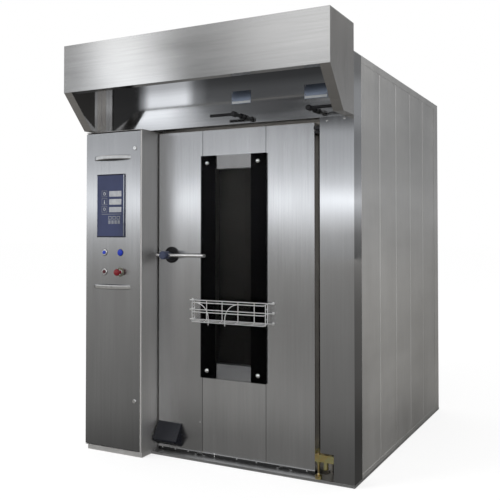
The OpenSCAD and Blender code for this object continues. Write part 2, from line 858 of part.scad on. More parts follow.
// The black cover over the lower latch: a folded hood with closed cheeks.
module latch_cover() {
    x = [door_x0, door_x0 + 164];
    s = door_setback;
    t = 3;
    color("black") placed() difference() {
        cross_section(x, [[s, 183], [s - 5, 183], [0, 92], [0, 84], [s - 9, 50], [s, 50]]);
        cross_section([x[0] + t, x[1] - t], [[s + 1, 177], [s - 4, 177], [t, 91], [t, 87], [s - 8, 54],
            [s + 1, 54]]);
    }
}

// Both hinge arms. The lower one reaches into the pillar and stands on an adjustable ball-ended bolt.
module door_hinge_arms() {
    lug_front = hinge_y - 13;
    lug = [[door_x1, door_setback + 17], [hinge_x - 16, door_setback - 3], [hinge_x - 16, lug_front]];
    low = [105, 143];
    high_z = header_z - 81;
    bolt_r = 6;
    ball_z = base_t + 21;
    color("goldenrod") placed() {
        difference() {
            translate([0, 0, low[0]]) linear_extrude(low[1] - low[0]) polygon(concat(lug, [
                [hinge_x + 95, lug_front], [hinge_x + 95, hinge_y + 13],
                [hinge_x + 14, hinge_y + 13], [hinge_x - 12, leaf_y1 - 6], [door_x1, leaf_y1 - 6]
            ]));
            rod_z(hinge_x, hinge_y, [low[0] - 1, low[1] + 1], bolt_r + bore_gap);
        }
        rod_z(hinge_x, hinge_y, [ball_z, low[1] + 8], bolt_r);
        translate([hinge_x, hinge_y, low[0] - 10]) cylinder(r = 11, h = 10 - fit_gap, $fn = 6);
        translate([hinge_x, hinge_y, ball_z]) sphere(9);
        rod_z(hinge_x + 42, hinge_y, [low[0] - 38, low[0] - fit_gap], 13);
        translate([0, 0, high_z]) linear_extrude(12) {
            polygon(concat(lug, [[hinge_x + 10, hinge_y - 12], [hinge_x + 10, hinge_y + 12],
                [hinge_x - 12, leaf_y1 - 6], [door_x1, leaf_y1 - 6]]));
            translate([hinge_x, hinge_y]) circle(15);
        }
        rod_z(hinge_x, hinge_y, [high_z + 11, high_z + 42], 8);
    }
}

module hinge_brackets() {
    x0 = x_right - pillar_w;
    upper_z = header_z - 61;
    cup_h = 16;
    color("goldenrod") placed() {
        difference() {
            rod_z(hinge_x, hinge_y, [base_t, base_t + cup_h], 18);
            translate([hinge_x, hinge_y, base_t + 21]) sphere(9 + fit_gap);
        }
        difference() {
            slab([hinge_x - 18, x0], [hinge_y - 16, hinge_y + 16], [upper_z, upper_z + 18]);
            rod_z(hinge_x, hinge_y, [upper_z - 1, upper_z + 19], 8 + bore_gap);
        }
    }
}

// Wire basket ----------------------------------------------------------------

// A quarter turn of wire in the basket's front face, from the upper wire down to the lower one.
module scoop_wire(x, y, z, side, bend_r, r) {
    translate([x, y, z - bend_r]) rotate([90, 0, 0]) rotate([0, 0, side > 0 ? 0 : 90])
        rotate_extrude(angle = 90, $fn = 64) translate([bend_r, 0]) circle(r, $fn = 20);
}

module wire_basket() {
    $fn = 20;
    cx = glass_x - 11;
    back_y = glass_y0 - rail_r - 3;
    front_y = back_y - basket_d;
    drop = 10;
    half = basket_w / 2;
    over = 34;
    front_r = rail_r - 0.25;
    thin_r = rail_r - 0.5;
    rung_r = rail_r - 0.8;
    levels = [basket_z, basket_z - basket_h / 2 + 1, basket_z - basket_h];
    between = [(levels[0] + levels[1]) / 2, (levels[1] + levels[2]) / 2];
    scoop_r = 88;
    corner_r = 10;
    leg_x = half + over - 6;
    side_y = front_y + corner_r;
    color("gainsboro") placed() union() {
        for (z = levels) {
            rod_x([cx - half - over, cx + half + over], back_y, z, rail_r);
            translate([cx, back_y, z]) rotate([atan2(drop, basket_d), 0, 0])
                bent_wire(half, norm([drop, basket_d]), corner_r, front_r);
            for (i = [-1, 1]) {
                rod_y(cx + i * leg_x, [back_y, door_setback], z, thin_r);
                rod_y(cx + i * leg_x, [door_setback - 2, door_setback], z, 8);
            }
        }
        for (x = [cx - half - 2, cx + half + 2]) {
            rod_z(x, back_y - 2, [levels[2] - 1, levels[0] + 1], thin_r);
            rod_z(x, side_y, [levels[2] - drop - 1, levels[0] - drop + 3], thin_r);
            for (z = between) {
                end_wire(x, [side_y, back_y - 2], [z - drop + 4, z], rung_r);
            }
        }
        for (i = [-1.5 : 1 : 1.5]) {
            rod_z(cx + i * 103, back_y - 2, [levels[2] - 1, levels[0] + 1], thin_r);
            end_wire(cx + i * 103, [front_y, back_y], [levels[2] - drop, levels[2]], thin_r);
        }
        rod_x([cx - half, cx + half], (front_y + back_y) / 2, levels[2] - drop / 2, rung_r);
        scoop_wire(cx - half + 25, front_y - 2, levels[0] - drop, 1, scoop_r, thin_r);
        rod_z(cx - half + 25 + scoop_r, front_y - 2, [levels[2] - drop - 14, levels[0] - drop - scoop_r],
            thin_r);
        scoop_wire(cx + 75, front_y - 2, levels[0] - drop, -1, scoop_r, thin_r);
        rod_z(cx + 75 - scoop_r, front_y - 2, [levels[2] - drop - 14, levels[0] - drop - scoop_r], thin_r);
    }
}

// A wire bent to a flat U: two legs come forward from depth 0 and join across the front.
module bent_wire(half, depth, bend_r, r) {
    rod_x([bend_r - half, half - bend_r], -depth, 0, r);
    for (i = [-1, 1]) {
        rod_y(i * half, [bend_r - depth, 0], 0, r);
        translate([i * (half - bend_r), bend_r - depth, 0]) rotate([0, 0, i > 0 ? -90 : 180])
            rotate_extrude(angle = 90, $fn = 48) translate([bend_r, 0]) circle(r, $fn = 20);
    }
}

// A short wire that joins the basket's front and back, a little lower in front.
module end_wire(x, y, z, r) {
    run = y[1] - y[0];
    fall = z[1] - z[0];
    translate([x, y[0], z[0]]) rotate([atan2(fall, run) - 90, 0, 0])
        cylinder(r = r, h = sqrt(run * run + fall * fall));
}

// Chamber --------------------------------------------------------------------

module tube_along_z(x, y, z) {
    difference() {
        slab(x, y, z);
        slab([x[0] + sheet, x[1] - sheet], [y[0] + sheet, y[1] - sheet], [z[0] - 1, z[1] + 1]);
    }
}

// The doorway: a sill, two jambs and a head, each a flat box of folded sheet.
module portal_frame() {
    y = [portal_y0, portal_y1];
    z = [sill_top + fit_gap, doorway_z - fit_gap];
    color("silver") placed() {
        slab([ch_x0, ch_x1 + sheet], y, [base_t, sill_top]);
        cross_section([cab_x1 + fit_gap, door_x1 + hinge_gap - fit_gap], [[portal_y0 - 43, base_t],
            [portal_y1, base_t], [portal_y1, sill_top], [portal_y0 - 8, sill_top]]);
        tube_along_z([duct_x0 - sheet, way_x0], y, z);
        tube_along_z([way_x1, ch_x1 + sheet], y, z);
        tube_along_x([duct_x0 - sheet, ch_x1 + sheet], y, [doorway_z, header_z + 30]);
    }
}

module chamber_walls() {
    g = fit_gap;
    z = [floor_z, ceiling_z];
    left = [ch_x0 - sheet, ch_x0];
    slot_pitch = 38;
    slot_n = floor((ch_x1 - ch_x0 - 60) / slot_pitch);
    color("silver") placed() {
        difference() {
            slab([ch_x1, ch_x1 + sheet], [ch_y0, duct_y1 - g], z);
            for (lz = lamp_z) {
                rod_x([ch_x1 - 1, ch_x1 + sheet + 1], lamp_y, lz, lamp_r + g);
            }
        }
        slab(left, [ch_y0, louvre_y[0] - g], z);
        slab(left, [louvre_y[1] + g, ch_y1 + sheet], z);
        difference() {
            slab([ch_x0 + g, ch_x1 - g], [ch_y1, ch_y1 + sheet], z);
            for (i = [0 : slot_n - 1]) {
                slab([ch_x0 + 40 + i * slot_pitch, ch_x0 + 54 + i * slot_pitch],
                    [ch_y1 - 1, ch_y1 + sheet + 1], [80, 280]);
            }
        }
        difference() {
            slab([duct_x0 - sheet, duct_x0], [ch_y0, duct_y1 - g], z);
            rod_x([duct_x0 - 3, duct_x0 + 1], fan_y, drain_z, drain_r + g);
        }
        slab([duct_x0 - sheet, ch_x1 + sheet], [duct_y1, duct_y1 + sheet], z);
        difference() {
            slab(left, [ch_y1 + sheet + g, duct_y1 - g], [floor_z, baffle_z - g]);
            rod_x([ch_x0 - 3, ch_x0 + 1], fan_y, drain_z, drain_r + g);
        }
    }
}

// The column of air slots in the chamber's left wall: slanted slats between two stiles.
module air_louvres() {
    z0 = floor_z + 40;
    z1 = ceiling_z - 40;
    pitch = (z1 - z0) / slat_n;
    stile = 18;
    x0 = ch_x0 - 22;
    color("silver") placed() union() {
        slab([x0, ch_x0], [louvre_y[0], louvre_y[0] + stile], [floor_z, ceiling_z]);
        slab([x0, ch_x0], [louvre_y[1] - stile, louvre_y[1]], [floor_z, ceiling_z]);
        slab([x0, ch_x0], louvre_y, [floor_z, z0]);
        slab([x0, ch_x0], louvre_y, [z1, ceiling_z]);
        for (i = [0 : slat_n - 1]) {
            translate([ch_x0 - 11, louvre_y[0] + stile - 1, z0 + (i + 0.5) * pitch]) rotate([0, 40, 0])
                translate([-12, 0, -1]) cube([24, louvre_y[1] - louvre_y[0] - 2 * stile + 2, 2]);
        }
    }
}

module chamber_ceiling() {
    z = [ceiling_z, ceiling_z + sheet];
    color("silver") placed() difference() {
        slab([duct_x0 - sheet, ch_x1 + sheet], [portal_y1, duct_y1 + sheet], z);
        for (x = damper_x) {
            rod_z(x, flue_y, [z[0] - 1, z[1] + 1], flue_r - 4);
        }
        rod_z(rot_x, rot_y, [z[0] - 1, z[1] + 1], yoke_shaft_r + 6);
        rod_z(fan_x, fan_y, [z[0] - 1, z[1] + 1], fan_shaft_r + 6);
        rod_z(water_x, fan_y, [z[0] - 1, z[1] + 1], water_r + fit_gap);
    }
}

module floor_pan() {
    color("silver") placed() difference() {
        union() {
            slab([duct_x0 - sheet, ch_x1 + sheet], [portal_y1, duct_y1 + sheet], [base_t, floor_z]);
            slab([ch_x0, ch_x1], [portal_y1, ch_y1], [floor_z, table_top]);
        }
        rod_z(rot_x, rot_y, [floor_z, table_top + 1], table_r + 4);
    }
}

module turntable_bearing() {
    color("gray") placed() turned_up(rot_x, rot_y, floor_z, [
        [40, 0], [95, 0], [95, table_top - turntable_t - floor_z - fit_gap],
        [40, table_top - turntable_t - floor_z - fit_gap]
    ]);
}

// The turning floor plate, with two low guides that keep a trolley's wheels in line.
module turntable() {
    guide_h = 6;
    guide_len = table_r * 1.3;
    color("gray") placed() {
        rod_z(rot_x, rot_y, [table_top - turntable_t, table_top], table_r);
        for (i = [-1, 1]) {
            x = rot_x + i * table_r * 0.6;
            slab([x - 3, x + 3], [rot_y - guide_len / 2, rot_y + guide_len / 2],
                [table_top, table_top + guide_h]);
        }
    }
}

// The overhead carrier: a shaft from the gearbox, a crossbar and two forks that take a trolley's top.
module drive_yoke() {
    bar = [ceiling_z - 60, ceiling_z - 40];
    fork_x = 300;
    fork_h = 26;
    color("gray") placed() union() {
        rod_z(rot_x, rot_y, [bar[0], roof_z + 80], yoke_shaft_r);
        rod_z(rot_x, rot_y, [bar[0] - 6, bar[1] + 12], 45);
        slab([rot_x - fork_x - 30, rot_x + fork_x + 30], [rot_y - 30, rot_y + 30], bar);
        for (i = [-1, 1]) {
            for (j = [-1, 1]) {
                slab([rot_x + i * fork_x - 30, rot_x + i * fork_x + 30],
                    [rot_y + j * 25 - 5, rot_y + j * 25 + 5], [bar[0] - fork_h, bar[0] + 1]);
            }
        }
    }
}

module insulation() {
    gap = fit_gap;
    x = [x_left + plank_t + 3, x_right - plank_t - 4];
    y1 = body_d - plank_t - 2;
    z = [base_t + rail_low_h + gap, ceiling_z];
    top_z = [ceiling_z + sheet + gap, body_h - 130];
    color("khaki") placed() {
        difference() {
            slab([ch_x1 + sheet + gap, x[1]], [portal_y1, duct_y1 + sheet], z);
            for (lz = lamp_z) {
                rod_x([ch_x1, ch_x1 + 100], lamp_y, lz, lamp_r + 12);
            }
        }
        difference() {
            slab([x[0], duct_x0 - sheet - gap], [portal_y1, duct_y1 + sheet], z);
            rod_x([x[0] - 1, duct_x0], fan_y, drain_z, drain_r + 1);
        }
        slab(x, [duct_y1 + sheet + gap, y1], z);
        slab([x_left + base_rim + gap, x_right - base_rim - gap],
            [portal_y1 + gap, body_d - base_rim - gap], [3, base_t - gap]);
        difference() {
            slab(x, [portal_y1, y1], top_z);
            for (dx = damper_x) {
                rod_z(dx, flue_y, [top_z[0] - 1, top_z[1] + 1], flue_r + 1);
                rod_y(dx, [portal_y1 - 1, flue_y], damper_z, damper_shaft_r + 3);
                rod_y(dx, [flue_y, flue_y + flue_r + 20], damper_z, damper_shaft_r + 3);
            }
            rod_z(rot_x, rot_y, [top_z[0] - 1, top_z[1] + 1], yoke_shaft_r + 12);
            rod_z(fan_x, fan_y, [top_z[0] - 1, top_z[1] + 1], fan_shaft_r + 12);
            rod_z(water_x, fan_y, [top_z[0] - 1, top_z[1] + 1], water_r + 1);
        }
    }
}

// Heat, steam and air --------------------------------------------------------

baffle_z = ceiling_z - 240;
heater_z0 = 860;
lamp_r = 38;
lamp_y = rot_y - 330;
lamp_z = [1500, 760];

// Hairpin heating elements on one flange, fixed through the chamber's right-hand wall line.
module heater_elements() {
    tube_r = 6;
    bend_r = 30;
    pitch = (baffle_z - 60 - heater_z0) / loop_n;
    flange_x = ch_x1 - 12;
    far_x = ch_x0 + 385;
    row_y = [fan_y - 90, fan_y + 90];
    color("dimgray") placed() union() {
        slab([flange_x, ch_x1 - fit_gap], [row_y[0] - 60, row_y[1] + 60], [heater_z0, baffle_z - 20]);
        for (i = [0 : loop_n - 1]) {
            z = heater_z0 + 60 + i * pitch;
            for (y = row_y) {
                for (s = [-1, 1]) {
                    rod_x([far_x, flange_x + 1], y + s * bend_r, z, tube_r);
                }
                translate([far_x, y, z]) rotate([0, 0, 90]) rotate_extrude(angle = 180)
                    translate([bend_r, 0]) circle(tube_r);
            }
        }
    }
}

// The steam maker: a ladder of angle troughs, turned alternately, so that water runs from one to the next.
module steam_cascade() {
    x = [ch_x0 + 6, ch_x0 + 330];
    y = [fan_y - 110, fan_y + 110];
    z0 = floor_z + 60;
    pitch = 1180 / trough_n;
    leg = 70;
    t = 8;
    color("darkslategray") placed() difference() {
        union() {
            for (ex = x) {
                slab([ex - 4, ex + 4], y, [floor_z, z0 + trough_n * pitch + 40]);
            }
            for (i = [0 : trough_n - 1]) {
                s = i % 2 == 0 ? 1 : -1;
                translate([0, fan_y + s * 40, z0 + (i + 0.6) * pitch]) cross_section([x[0], x[1]], [
                    [0, 0], [leg * 0.8, leg * 0.55], [leg * 0.8 - 5, leg * 0.55 + t], [0, t * 1.3],
                    [5 - leg * 0.8, leg * 0.55 + t], [-leg * 0.8, leg * 0.55]
                ]);
            }
        }
        rod_x([x[0] - 10, x[1] - 20], fan_y, drain_z, drain_r + 1);
    }
}

// The deck under the fan, with a bell-mouthed inlet that leads air into the wheel.
module fan_baffle() {
    mouth_r = fan_r * 0.62;
    flare = 30;
    lift = 40;
    color("silver") placed() union() {
        difference() {
            slab([ch_x0, ch_x1], [ch_y1 + sheet, duct_y1], [baffle_z, baffle_z + sheet]);
            rod_z(fan_x, fan_y, [baffle_z - 1, baffle_z + sheet + 1], mouth_r + flare - 1);
            rod_z(water_x, fan_y, [baffle_z - 1, baffle_z + sheet + 1], water_r + fit_gap);
        }
        translate([fan_x, fan_y, baffle_z]) rotate_extrude($fn = 96) {
            intersection() {
                translate([mouth_r + flare, flare]) difference() {
                    circle(flare);
                    circle(flare - sheet);
                }
                translate([mouth_r, 0]) square(flare);
            }
            translate([mouth_r, flare]) square([sheet, lift - flare]);
        }
    }
}

// The centre of the arc that leads a blade from its inner to its outer edge.
function arc_centre(p, q, r) =
    let (d = q - p, half = norm(d) / 2, h = sqrt(r * r - half * half), m = (p + q) / 2)
    m + h * [d[1], -d[0]] / (2 * half);

module blade_outline(inner, outer, sweep, bend, t) {
    p = [inner, 0];
    q = [outer * cos(sweep), -outer * sin(sweep)];
    c = arc_centre(p, q, bend);
    intersection() {
        translate(c) difference() {
            circle(bend + t / 2);
            circle(bend - t / 2);
        }
        difference() {
            circle(outer);
            circle(inner);
        }
        polygon([[inner * 0.7, 40], [outer * 1.3, 40], [outer * 1.3, -outer * sin(sweep) - 25],
            [inner * 0.2, -outer * sin(sweep) - 25]]);
    }
}

// A backward-curved centrifugal wheel: back plate above, blades, and a shroud ring below.
module fan_impeller() {
    z0 = baffle_z + 46;
    blade_h = 92;
    inner = fan_r * 0.52;
    color("silver") placed() translate([fan_x, fan_y, 0]) union() {
        translate([0, 0, z0 + blade_h]) cylinder(r = fan_r, h = 3);
        for (i = [0 : blade_n - 1]) {
            rotate([0, 0, i * 360 / blade_n]) translate([0, 0, z0]) linear_extrude(blade_h + 1)
                blade_outline(inner, fan_r - 2, 36, fan_r * 0.8, 3);
        }
        translate([0, 0, z0 - 2]) rotate_extrude() polygon([[fan_r * 0.72, 0], [fan_r, 0],
            [fan_r, 3], [fan_r * 0.72, 3]]);
        translate([0, 0, z0 + blade_h - 28]) cylinder(r = 34, h = 60);
        translate([0, 0, z0 + blade_h - 28]) cylinder(r = fan_shaft_r, h = roof_z + 130 - z0 - blade_h + 28);
    }
}

// Water inlet with its spray bar, drain pipe, and the gland that the supply cable enters by.
module service_fittings() {
    color("gray") placed() {
        difference() {
            union() {
                rod_z(water_x, fan_y, [baffle_z - 120, roof_z + 60], water_r);
                rod_y(water_x, [fan_y - 70, fan_y + 70], baffle_z - 120, water_r);
                translate([water_x, fan_y, roof_z]) cylinder(r = water_r + 8, h = 12, $fn = 6);
            }
            rod_z(water_x, fan_y, [baffle_z - 119, roof_z + 61], water_r - 2.6);
        }
        difference() {
            union() {
                rod_x([cab_x0 + 2, ch_x0 + 40], fan_y, drain_z, drain_r);
                rod_x([x_left - 3, x_left], fan_y, drain_z, drain_r + 8);
            }
            rod_x([cab_x0 + 1, ch_x0 + 41], fan_y, drain_z, drain_r - 2.5);
        }
        difference() {
            union() {
                rod_z(gland_x, gland_y, [body_h - 12, roof_z + 12], gland_r + 3);
                translate([gland_x, gland_y, roof_z]) cylinder(r = gland_r + 9, h = 8, $fn = 6);
                translate([gland_x, gland_y, body_h - 8]) cylinder(r = gland_r + 9, h = 8, $fn = 6);
                turned_up(gland_x, gland_y, roof_z + 8, [[0, 0], [gland_r + 7, 0],
                    [gland_r + 7, 14], [gland_r + 2, 24], [0, 24]]);
            }
            rod_z(gland_x, gland_y, [body_h - 20, roof_z + 40], gland_r);
        }
    }
}

module chamber_lamps() {
    color("white") placed() for (z = lamp_z) {
        translate([ch_x1 - 4, lamp_y, z]) rotate([0, 90, 0]) rotate_extrude() polygon([
            [0, 0], [lamp_r - 8, 0], [lamp_r - 2, 3], [lamp_r, 4], [lamp_r, 4 + sheet],
            [lamp_r, 60], [18, 75], [18, 96], [0, 96]
        ]);
    }
}

// A motor standing on its flange, with cooling ribs and a cowl over its own fan.
module motor(r, h) {
    rib_n = 24;
    body = [18, h * 0.72];
    cylinder(r = r * 1.25, h = 14);
    translate([0, 0, 14]) cylinder(r = r, h = body[1] - 14);
    for (i = [0 : rib_n - 1]) {
        rotate([0, 0, i * 360 / rib_n]) translate([r - 2, -1.5, body[0] + 8])
            cube([r * 0.14, 3, body[1] - body[0] - 12]);
    }
    translate([0, 0, body[1]]) cylinder(r = r * 1.1, h = h - body[1] - 8);
    translate([0, 0, h - 8]) cylinder(r1 = r * 1.1, r2 = r * 0.95, h = 8);
}

// The roof gearbox with its hollow output, and its motor lying on its side.
module gear_motor() {
    box_h = 120;
    box_w = 150;
    flange_r = 110;
    color("steelblue") placed() {
        difference() {
            union() {
                rod_z(rot_x, rot_y, [roof_z, roof_z + 14], flange_r);
                translate([rot_x, rot_y, roof_z + 13]) linear_extrude(box_h - 13)
                    rounded_rect(box_w, box_w + 20, 18);
                rod_z(rot_x, rot_y, [roof_z + box_h - 1, roof_z + box_h + 12], 46);
            }
            rod_z(rot_x, rot_y, [roof_z - 1, roof_z + 90], yoke_shaft_r + bore_gap);
        }
        translate([rot_x, rot_y + box_w / 2 + 10 + fit_gap, roof_z + 66]) rotate([-90, 0, 0])
            motor(48, 215);
        for (a = [45 : 90 : 315]) {
            translate([rot_x + 98 * cos(a), rot_y + 98 * sin(a), roof_z + 14 + fit_gap])
                cylinder(r = 8, h = 8, $fn = 6);
        }
    }
}

// The circulation fan's motor on a raised stand, which keeps it off the warm roof.
module fan_motor() {
    stand_h = 110;
    color("steelblue") placed() {
        for (a = [45 : 90 : 315]) {
            rod_z(fan_x + 82 * cos(a), fan_y + 82 * sin(a), [roof_z + 8 + fit_gap,
                roof_z + stand_h - fit_gap], 9);
        }
        difference() {
            slab([fan_x - 100, fan_x + 100], [fan_y - 100, fan_y + 100], [roof_z, roof_z + 8]);
            rod_z(fan_x, fan_y, [roof_z - 1, roof_z + 9], fan_shaft_r + 8);
        }
        difference() {
            translate([fan_x, fan_y, roof_z + stand_h]) motor(78, 200);
            rod_z(fan_x, fan_y, [roof_z + stand_h - 1, roof_z + 145], fan_shaft_r + bore_gap);
        }
    }
}

// Each flue is a pipe through the roof's insulation, with a flanged spigot standing on the roof.
module flue_pipes() {
    inner = flue_r - 2;
    color("silver") placed() for (x = damper_x) {
        difference() {
            rod_z(x, flue_y, [ceiling_z + sheet, roof_z - fit_gap], flue_r);
            rod_z(x, flue_y, [ceiling_z, roof_z], inner);
            rod_y(x, [flue_y - flue_r - 2, flue_y + flue_r + 2], damper_z, damper_shaft_r + bore_gap);
        }
        turned_up(x, flue_y, roof_z, [[inner, 0], [flue_r + flange_w, 0], [flue_r + flange_w, sheet],
            [flue_r, sheet], [flue_r, flue_spigot_h], [inner, flue_spigot_h]]);
    }
}

// A damper: a long shaft with a flap disc in the flue.
module damper(x) {
    union() {
        rod_y(x, [30 - damper_len + 12, flue_y + flue_r + 8], damper_z, damper_shaft_r);
        rod_z(x, flue_y, [damper_z - 1.5, damper_z + 1.5], flue_r - 4);
    }
}

module damper_left() {
    color("gray") placed() damper(damper_x[0]);
}

module damper_right() {
    color("gray") placed() damper(damper_x[1]);
}

// The black grip on the shaft's end, a knob and a bush with a neck between them, and the rod that
// turns it. side says which way the rod points.
module damper_grip(x, side) {
    rod_span = side > 0 ? [x, x + damper_rod] : [x - damper_rod, x];
    back = 30 - sheet - 4;
    grip = damper_len - sheet - 4;
    difference() {
        union() {
            turned_forward(x, back, damper_z, [
                [0, 0], [13, 0], [15, 2], [15, 32], [12, 36], [9.5, 40], [9.5, grip - 38], [12, grip - 35],
                [15, grip - 31], [15, grip - 4], [11, grip], [0, grip]
            ]);
            rod_x(rod_span, 30 - damper_len + 16, damper_z, damper_rod_r);
        }
        rod_y(x, [30 - damper_len + 12, 40], damper_z, damper_shaft_r + 0.05);
    }
}

module damper_grip_left() {
    color("black") placed() damper_grip(damper_x[0], -1);
}

module damper_grip_right() {
    color("black") placed() damper_grip(damper_x[1], 1);
}

base_frame();
posts_and_rails();
side_planks();
rear_planks();
roof_panel();
front_pillars();
header_panel();
portal_frame();
chamber_walls();
air_louvres();
chamber_ceiling();
floor_pan();
turntable_bearing();
insulation();
heater_elements();
steam_cascade();
fan_baffle();
service_fittings();
chamber_lamps();
gear_motor();
fan_motor();
flue_pipes();
hood_fascia();
hood_top();
hood_sides();
control_box();
electrics();
hinge_brackets();
door_left_panel();
door_middle_panel();
door_right_panel();
door_leaf();
door_wool();
door_glasses();
dome_nuts();
door_gasket();
bottom_seal();
handle_rosette();
latch_cover();
wire_basket();
door_hinge_arms();
handle_hub();
handle_lever();
control_door();
display_panel();
bow_handles();
button_bezels();
upper_lock();
lower_lock();
start_button();
lamp_button();
stop_button();
emergency_button();
damper_left();
damper_right();
damper_grip_left();
damper_grip_right();
turntable();
drive_yoke();
fan_impeller();
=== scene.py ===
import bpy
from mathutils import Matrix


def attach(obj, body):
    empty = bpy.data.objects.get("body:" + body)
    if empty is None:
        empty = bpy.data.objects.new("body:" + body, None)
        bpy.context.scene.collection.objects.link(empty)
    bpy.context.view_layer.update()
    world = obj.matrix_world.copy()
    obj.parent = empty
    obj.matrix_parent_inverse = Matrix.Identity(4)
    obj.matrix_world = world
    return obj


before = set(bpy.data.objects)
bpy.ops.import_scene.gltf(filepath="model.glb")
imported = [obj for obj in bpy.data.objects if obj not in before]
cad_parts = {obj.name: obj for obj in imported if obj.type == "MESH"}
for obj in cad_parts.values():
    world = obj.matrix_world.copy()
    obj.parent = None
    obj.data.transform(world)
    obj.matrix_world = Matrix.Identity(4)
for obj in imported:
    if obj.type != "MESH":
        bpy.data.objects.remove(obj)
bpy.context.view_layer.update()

import math
import bpy
import bmesh
from mathutils import Vector

# Sizes in millimetres, turned into metres. The depth is counted from the front of the right-hand pillar.
FRONT = -764.0
SEAMS = (-110.5, 301.5)
DOOR_LOW, DOOR_HIGH = 42, 1908
LEVER_X, LEVER_DEPTH, LEVER_Z = (-300, -57), -17, 1177
FORWARD, UPWARD = (0, -1, 0), (0, 0, 1)


def at(x, depth, z):
    return Vector((x / 1000, (depth + FRONT) / 1000, z / 1000))


# Camera ---------------------------------------------------------------------

def place_camera():
    """The photograph's camera, fitted to the upright and level edges of the oven."""
    data = bpy.data.cameras.new("camera")
    data.sensor_width = 36
    data.lens = 51.69
    data.shift_y = -0.0663
    data.clip_end = 200
    camera = bpy.data.objects.new("camera", data)
    camera.location = (2.0771, -4.2883, 1.3163)
    camera.rotation_euler = (math.radians(91.165), 0, math.radians(27.606))
    bpy.context.scene.collection.objects.link(camera)
    bpy.context.scene.camera = camera


# Materials ------------------------------------------------------------------

def set_stops(ramp, stops):
    elements = ramp.color_ramp.elements
    while len(elements) < len(stops):
        elements.new(0.5)
    for element, (place, colour) in zip(elements, stops):
        element.position = place
        element.color = (*colour, 1)


class Recipe:
    """A material under construction: a Principled shader and short ways to feed it."""

    def __init__(self, name, colour, rough, metal=0.0):
        self.material = bpy.data.materials.new(name)
        self.material.use_nodes = True
        self.tree = self.material.node_tree
        self.shader = self.tree.nodes["Principled BSDF"]
        self.set("Base Color", (*colour, 1))
        self.set("Roughness", rough)
        self.set("Metallic", metal)
        self.place = self.add("ShaderNodeTexCoord").outputs["Object"]

    @classmethod
    def on(cls, material):
        """Takes up a material again to change it further."""
        r = cls.__new__(cls)
        r.material, r.tree = material, material.node_tree
        r.shader = r.tree.nodes["Principled BSDF"]
        r.place = r.add("ShaderNodeTexCoord").outputs["Object"]
        return r

    def add(self, kind, **settings):
        node = self.tree.nodes.new(kind)
        for key, value in settings.items():
            setattr(node, key, value)
        return node

    def link(self, source, target):
        self.tree.links.new(source, target)

    def set(self, socket, value):
        self.shader.inputs[socket].default_value = value

    def noise(self, scale, detail=3.0, stretch=(1, 1, 1), rough=0.5):
        mapping = self.add("ShaderNodeMapping")
        mapping.inputs["Scale"].default_value = stretch
        self.link(self.place, mapping.inputs["Vector"])
        noise = self.add("ShaderNodeTexNoise")
        noise.inputs["Scale"].default_value = scale
        noise.inputs["Detail"].default_value = detail
        noise.inputs["Roughness"].default_value = rough
        self.link(mapping.outputs["Vector"], noise.inputs["Vector"])
        return noise.outputs["Fac"]

    def ramp(self, source, stops):
        ramp = self.add("ShaderNodeValToRGB")
        ramp.color_ramp.interpolation = "EASE"
        set_stops(ramp, stops)
        self.link(source, ramp.inputs["Fac"])
        return ramp.outputs["Color"]

    def height(self, axis="Z"):
        """The place along one axis, in metres: the height above the floor unless told otherwise."""
        split = self.add("ShaderNodeSeparateXYZ")
        self.link(self.place, split.inputs["Vector"])
        return split.outputs[axis]

    def brush_along(self, axis, amount):
        """Smears reflections across the brushing; axis is the one that the smear turns round."""
        tangent = self.add("ShaderNodeTangent", direction_type="RADIAL", axis=axis)
        self.feed("Tangent", tangent.outputs["Tangent"])
        self.set("Anisotropic", amount)

    def spread(self, source, low, high, from_low=0.25, from_high=0.75):
        """Runs smoothly from low to high while source goes from from_low to from_high."""
        rng = self.add("ShaderNodeMapRange", interpolation_type="SMOOTHSTEP")
        rng.inputs["From Min"].default_value = from_low
        rng.inputs["From Max"].default_value = from_high
        rng.inputs["To Min"].default_value = low
        rng.inputs["To Max"].default_value = high
        self.link(source, rng.inputs["Value"])
        return rng.outputs["Result"]

    def blend(self, share, first, second, mode="MIX"):
        mix = self.add("ShaderNodeMix", data_type="RGBA", blend_type=mode)
        if isinstance(share, (int, float)):
            mix.inputs["Factor"].default_value = share
        else:
            self.link(share, mix.inputs["Factor"])
        # of a Mix node's sockets, inputs 6 and 7 and output 2 are the ones for colours
        for socket, value in ((mix.inputs[6], first), (mix.inputs[7], second)):
            if isinstance(value, tuple):
                socket.default_value = (*value, 1)
            else:
                self.link(value, socket)
        return mix.outputs[2]

    def feed(self, socket, source):
        self.link(source, self.shader.inputs[socket])

    def bump(self, source, strength, distance, edge=0.0):
        bump = self.add("ShaderNodeBump")
        bump.inputs["Strength"].default_value = strength
        bump.inputs["Distance"].default_value = distance
        self.link(source, bump.inputs["Height"])
        if edge:
            bevel = self.add("ShaderNodeBevel", samples=4)
            bevel.inputs["Radius"].default_value = edge
            self.link(bevel.outputs["Normal"], bump.inputs["Normal"])
        self.feed("Normal", bump.outputs["Normal"])


def tint(colour, share):
    return tuple(min(1.0, c * share) for c in colour)


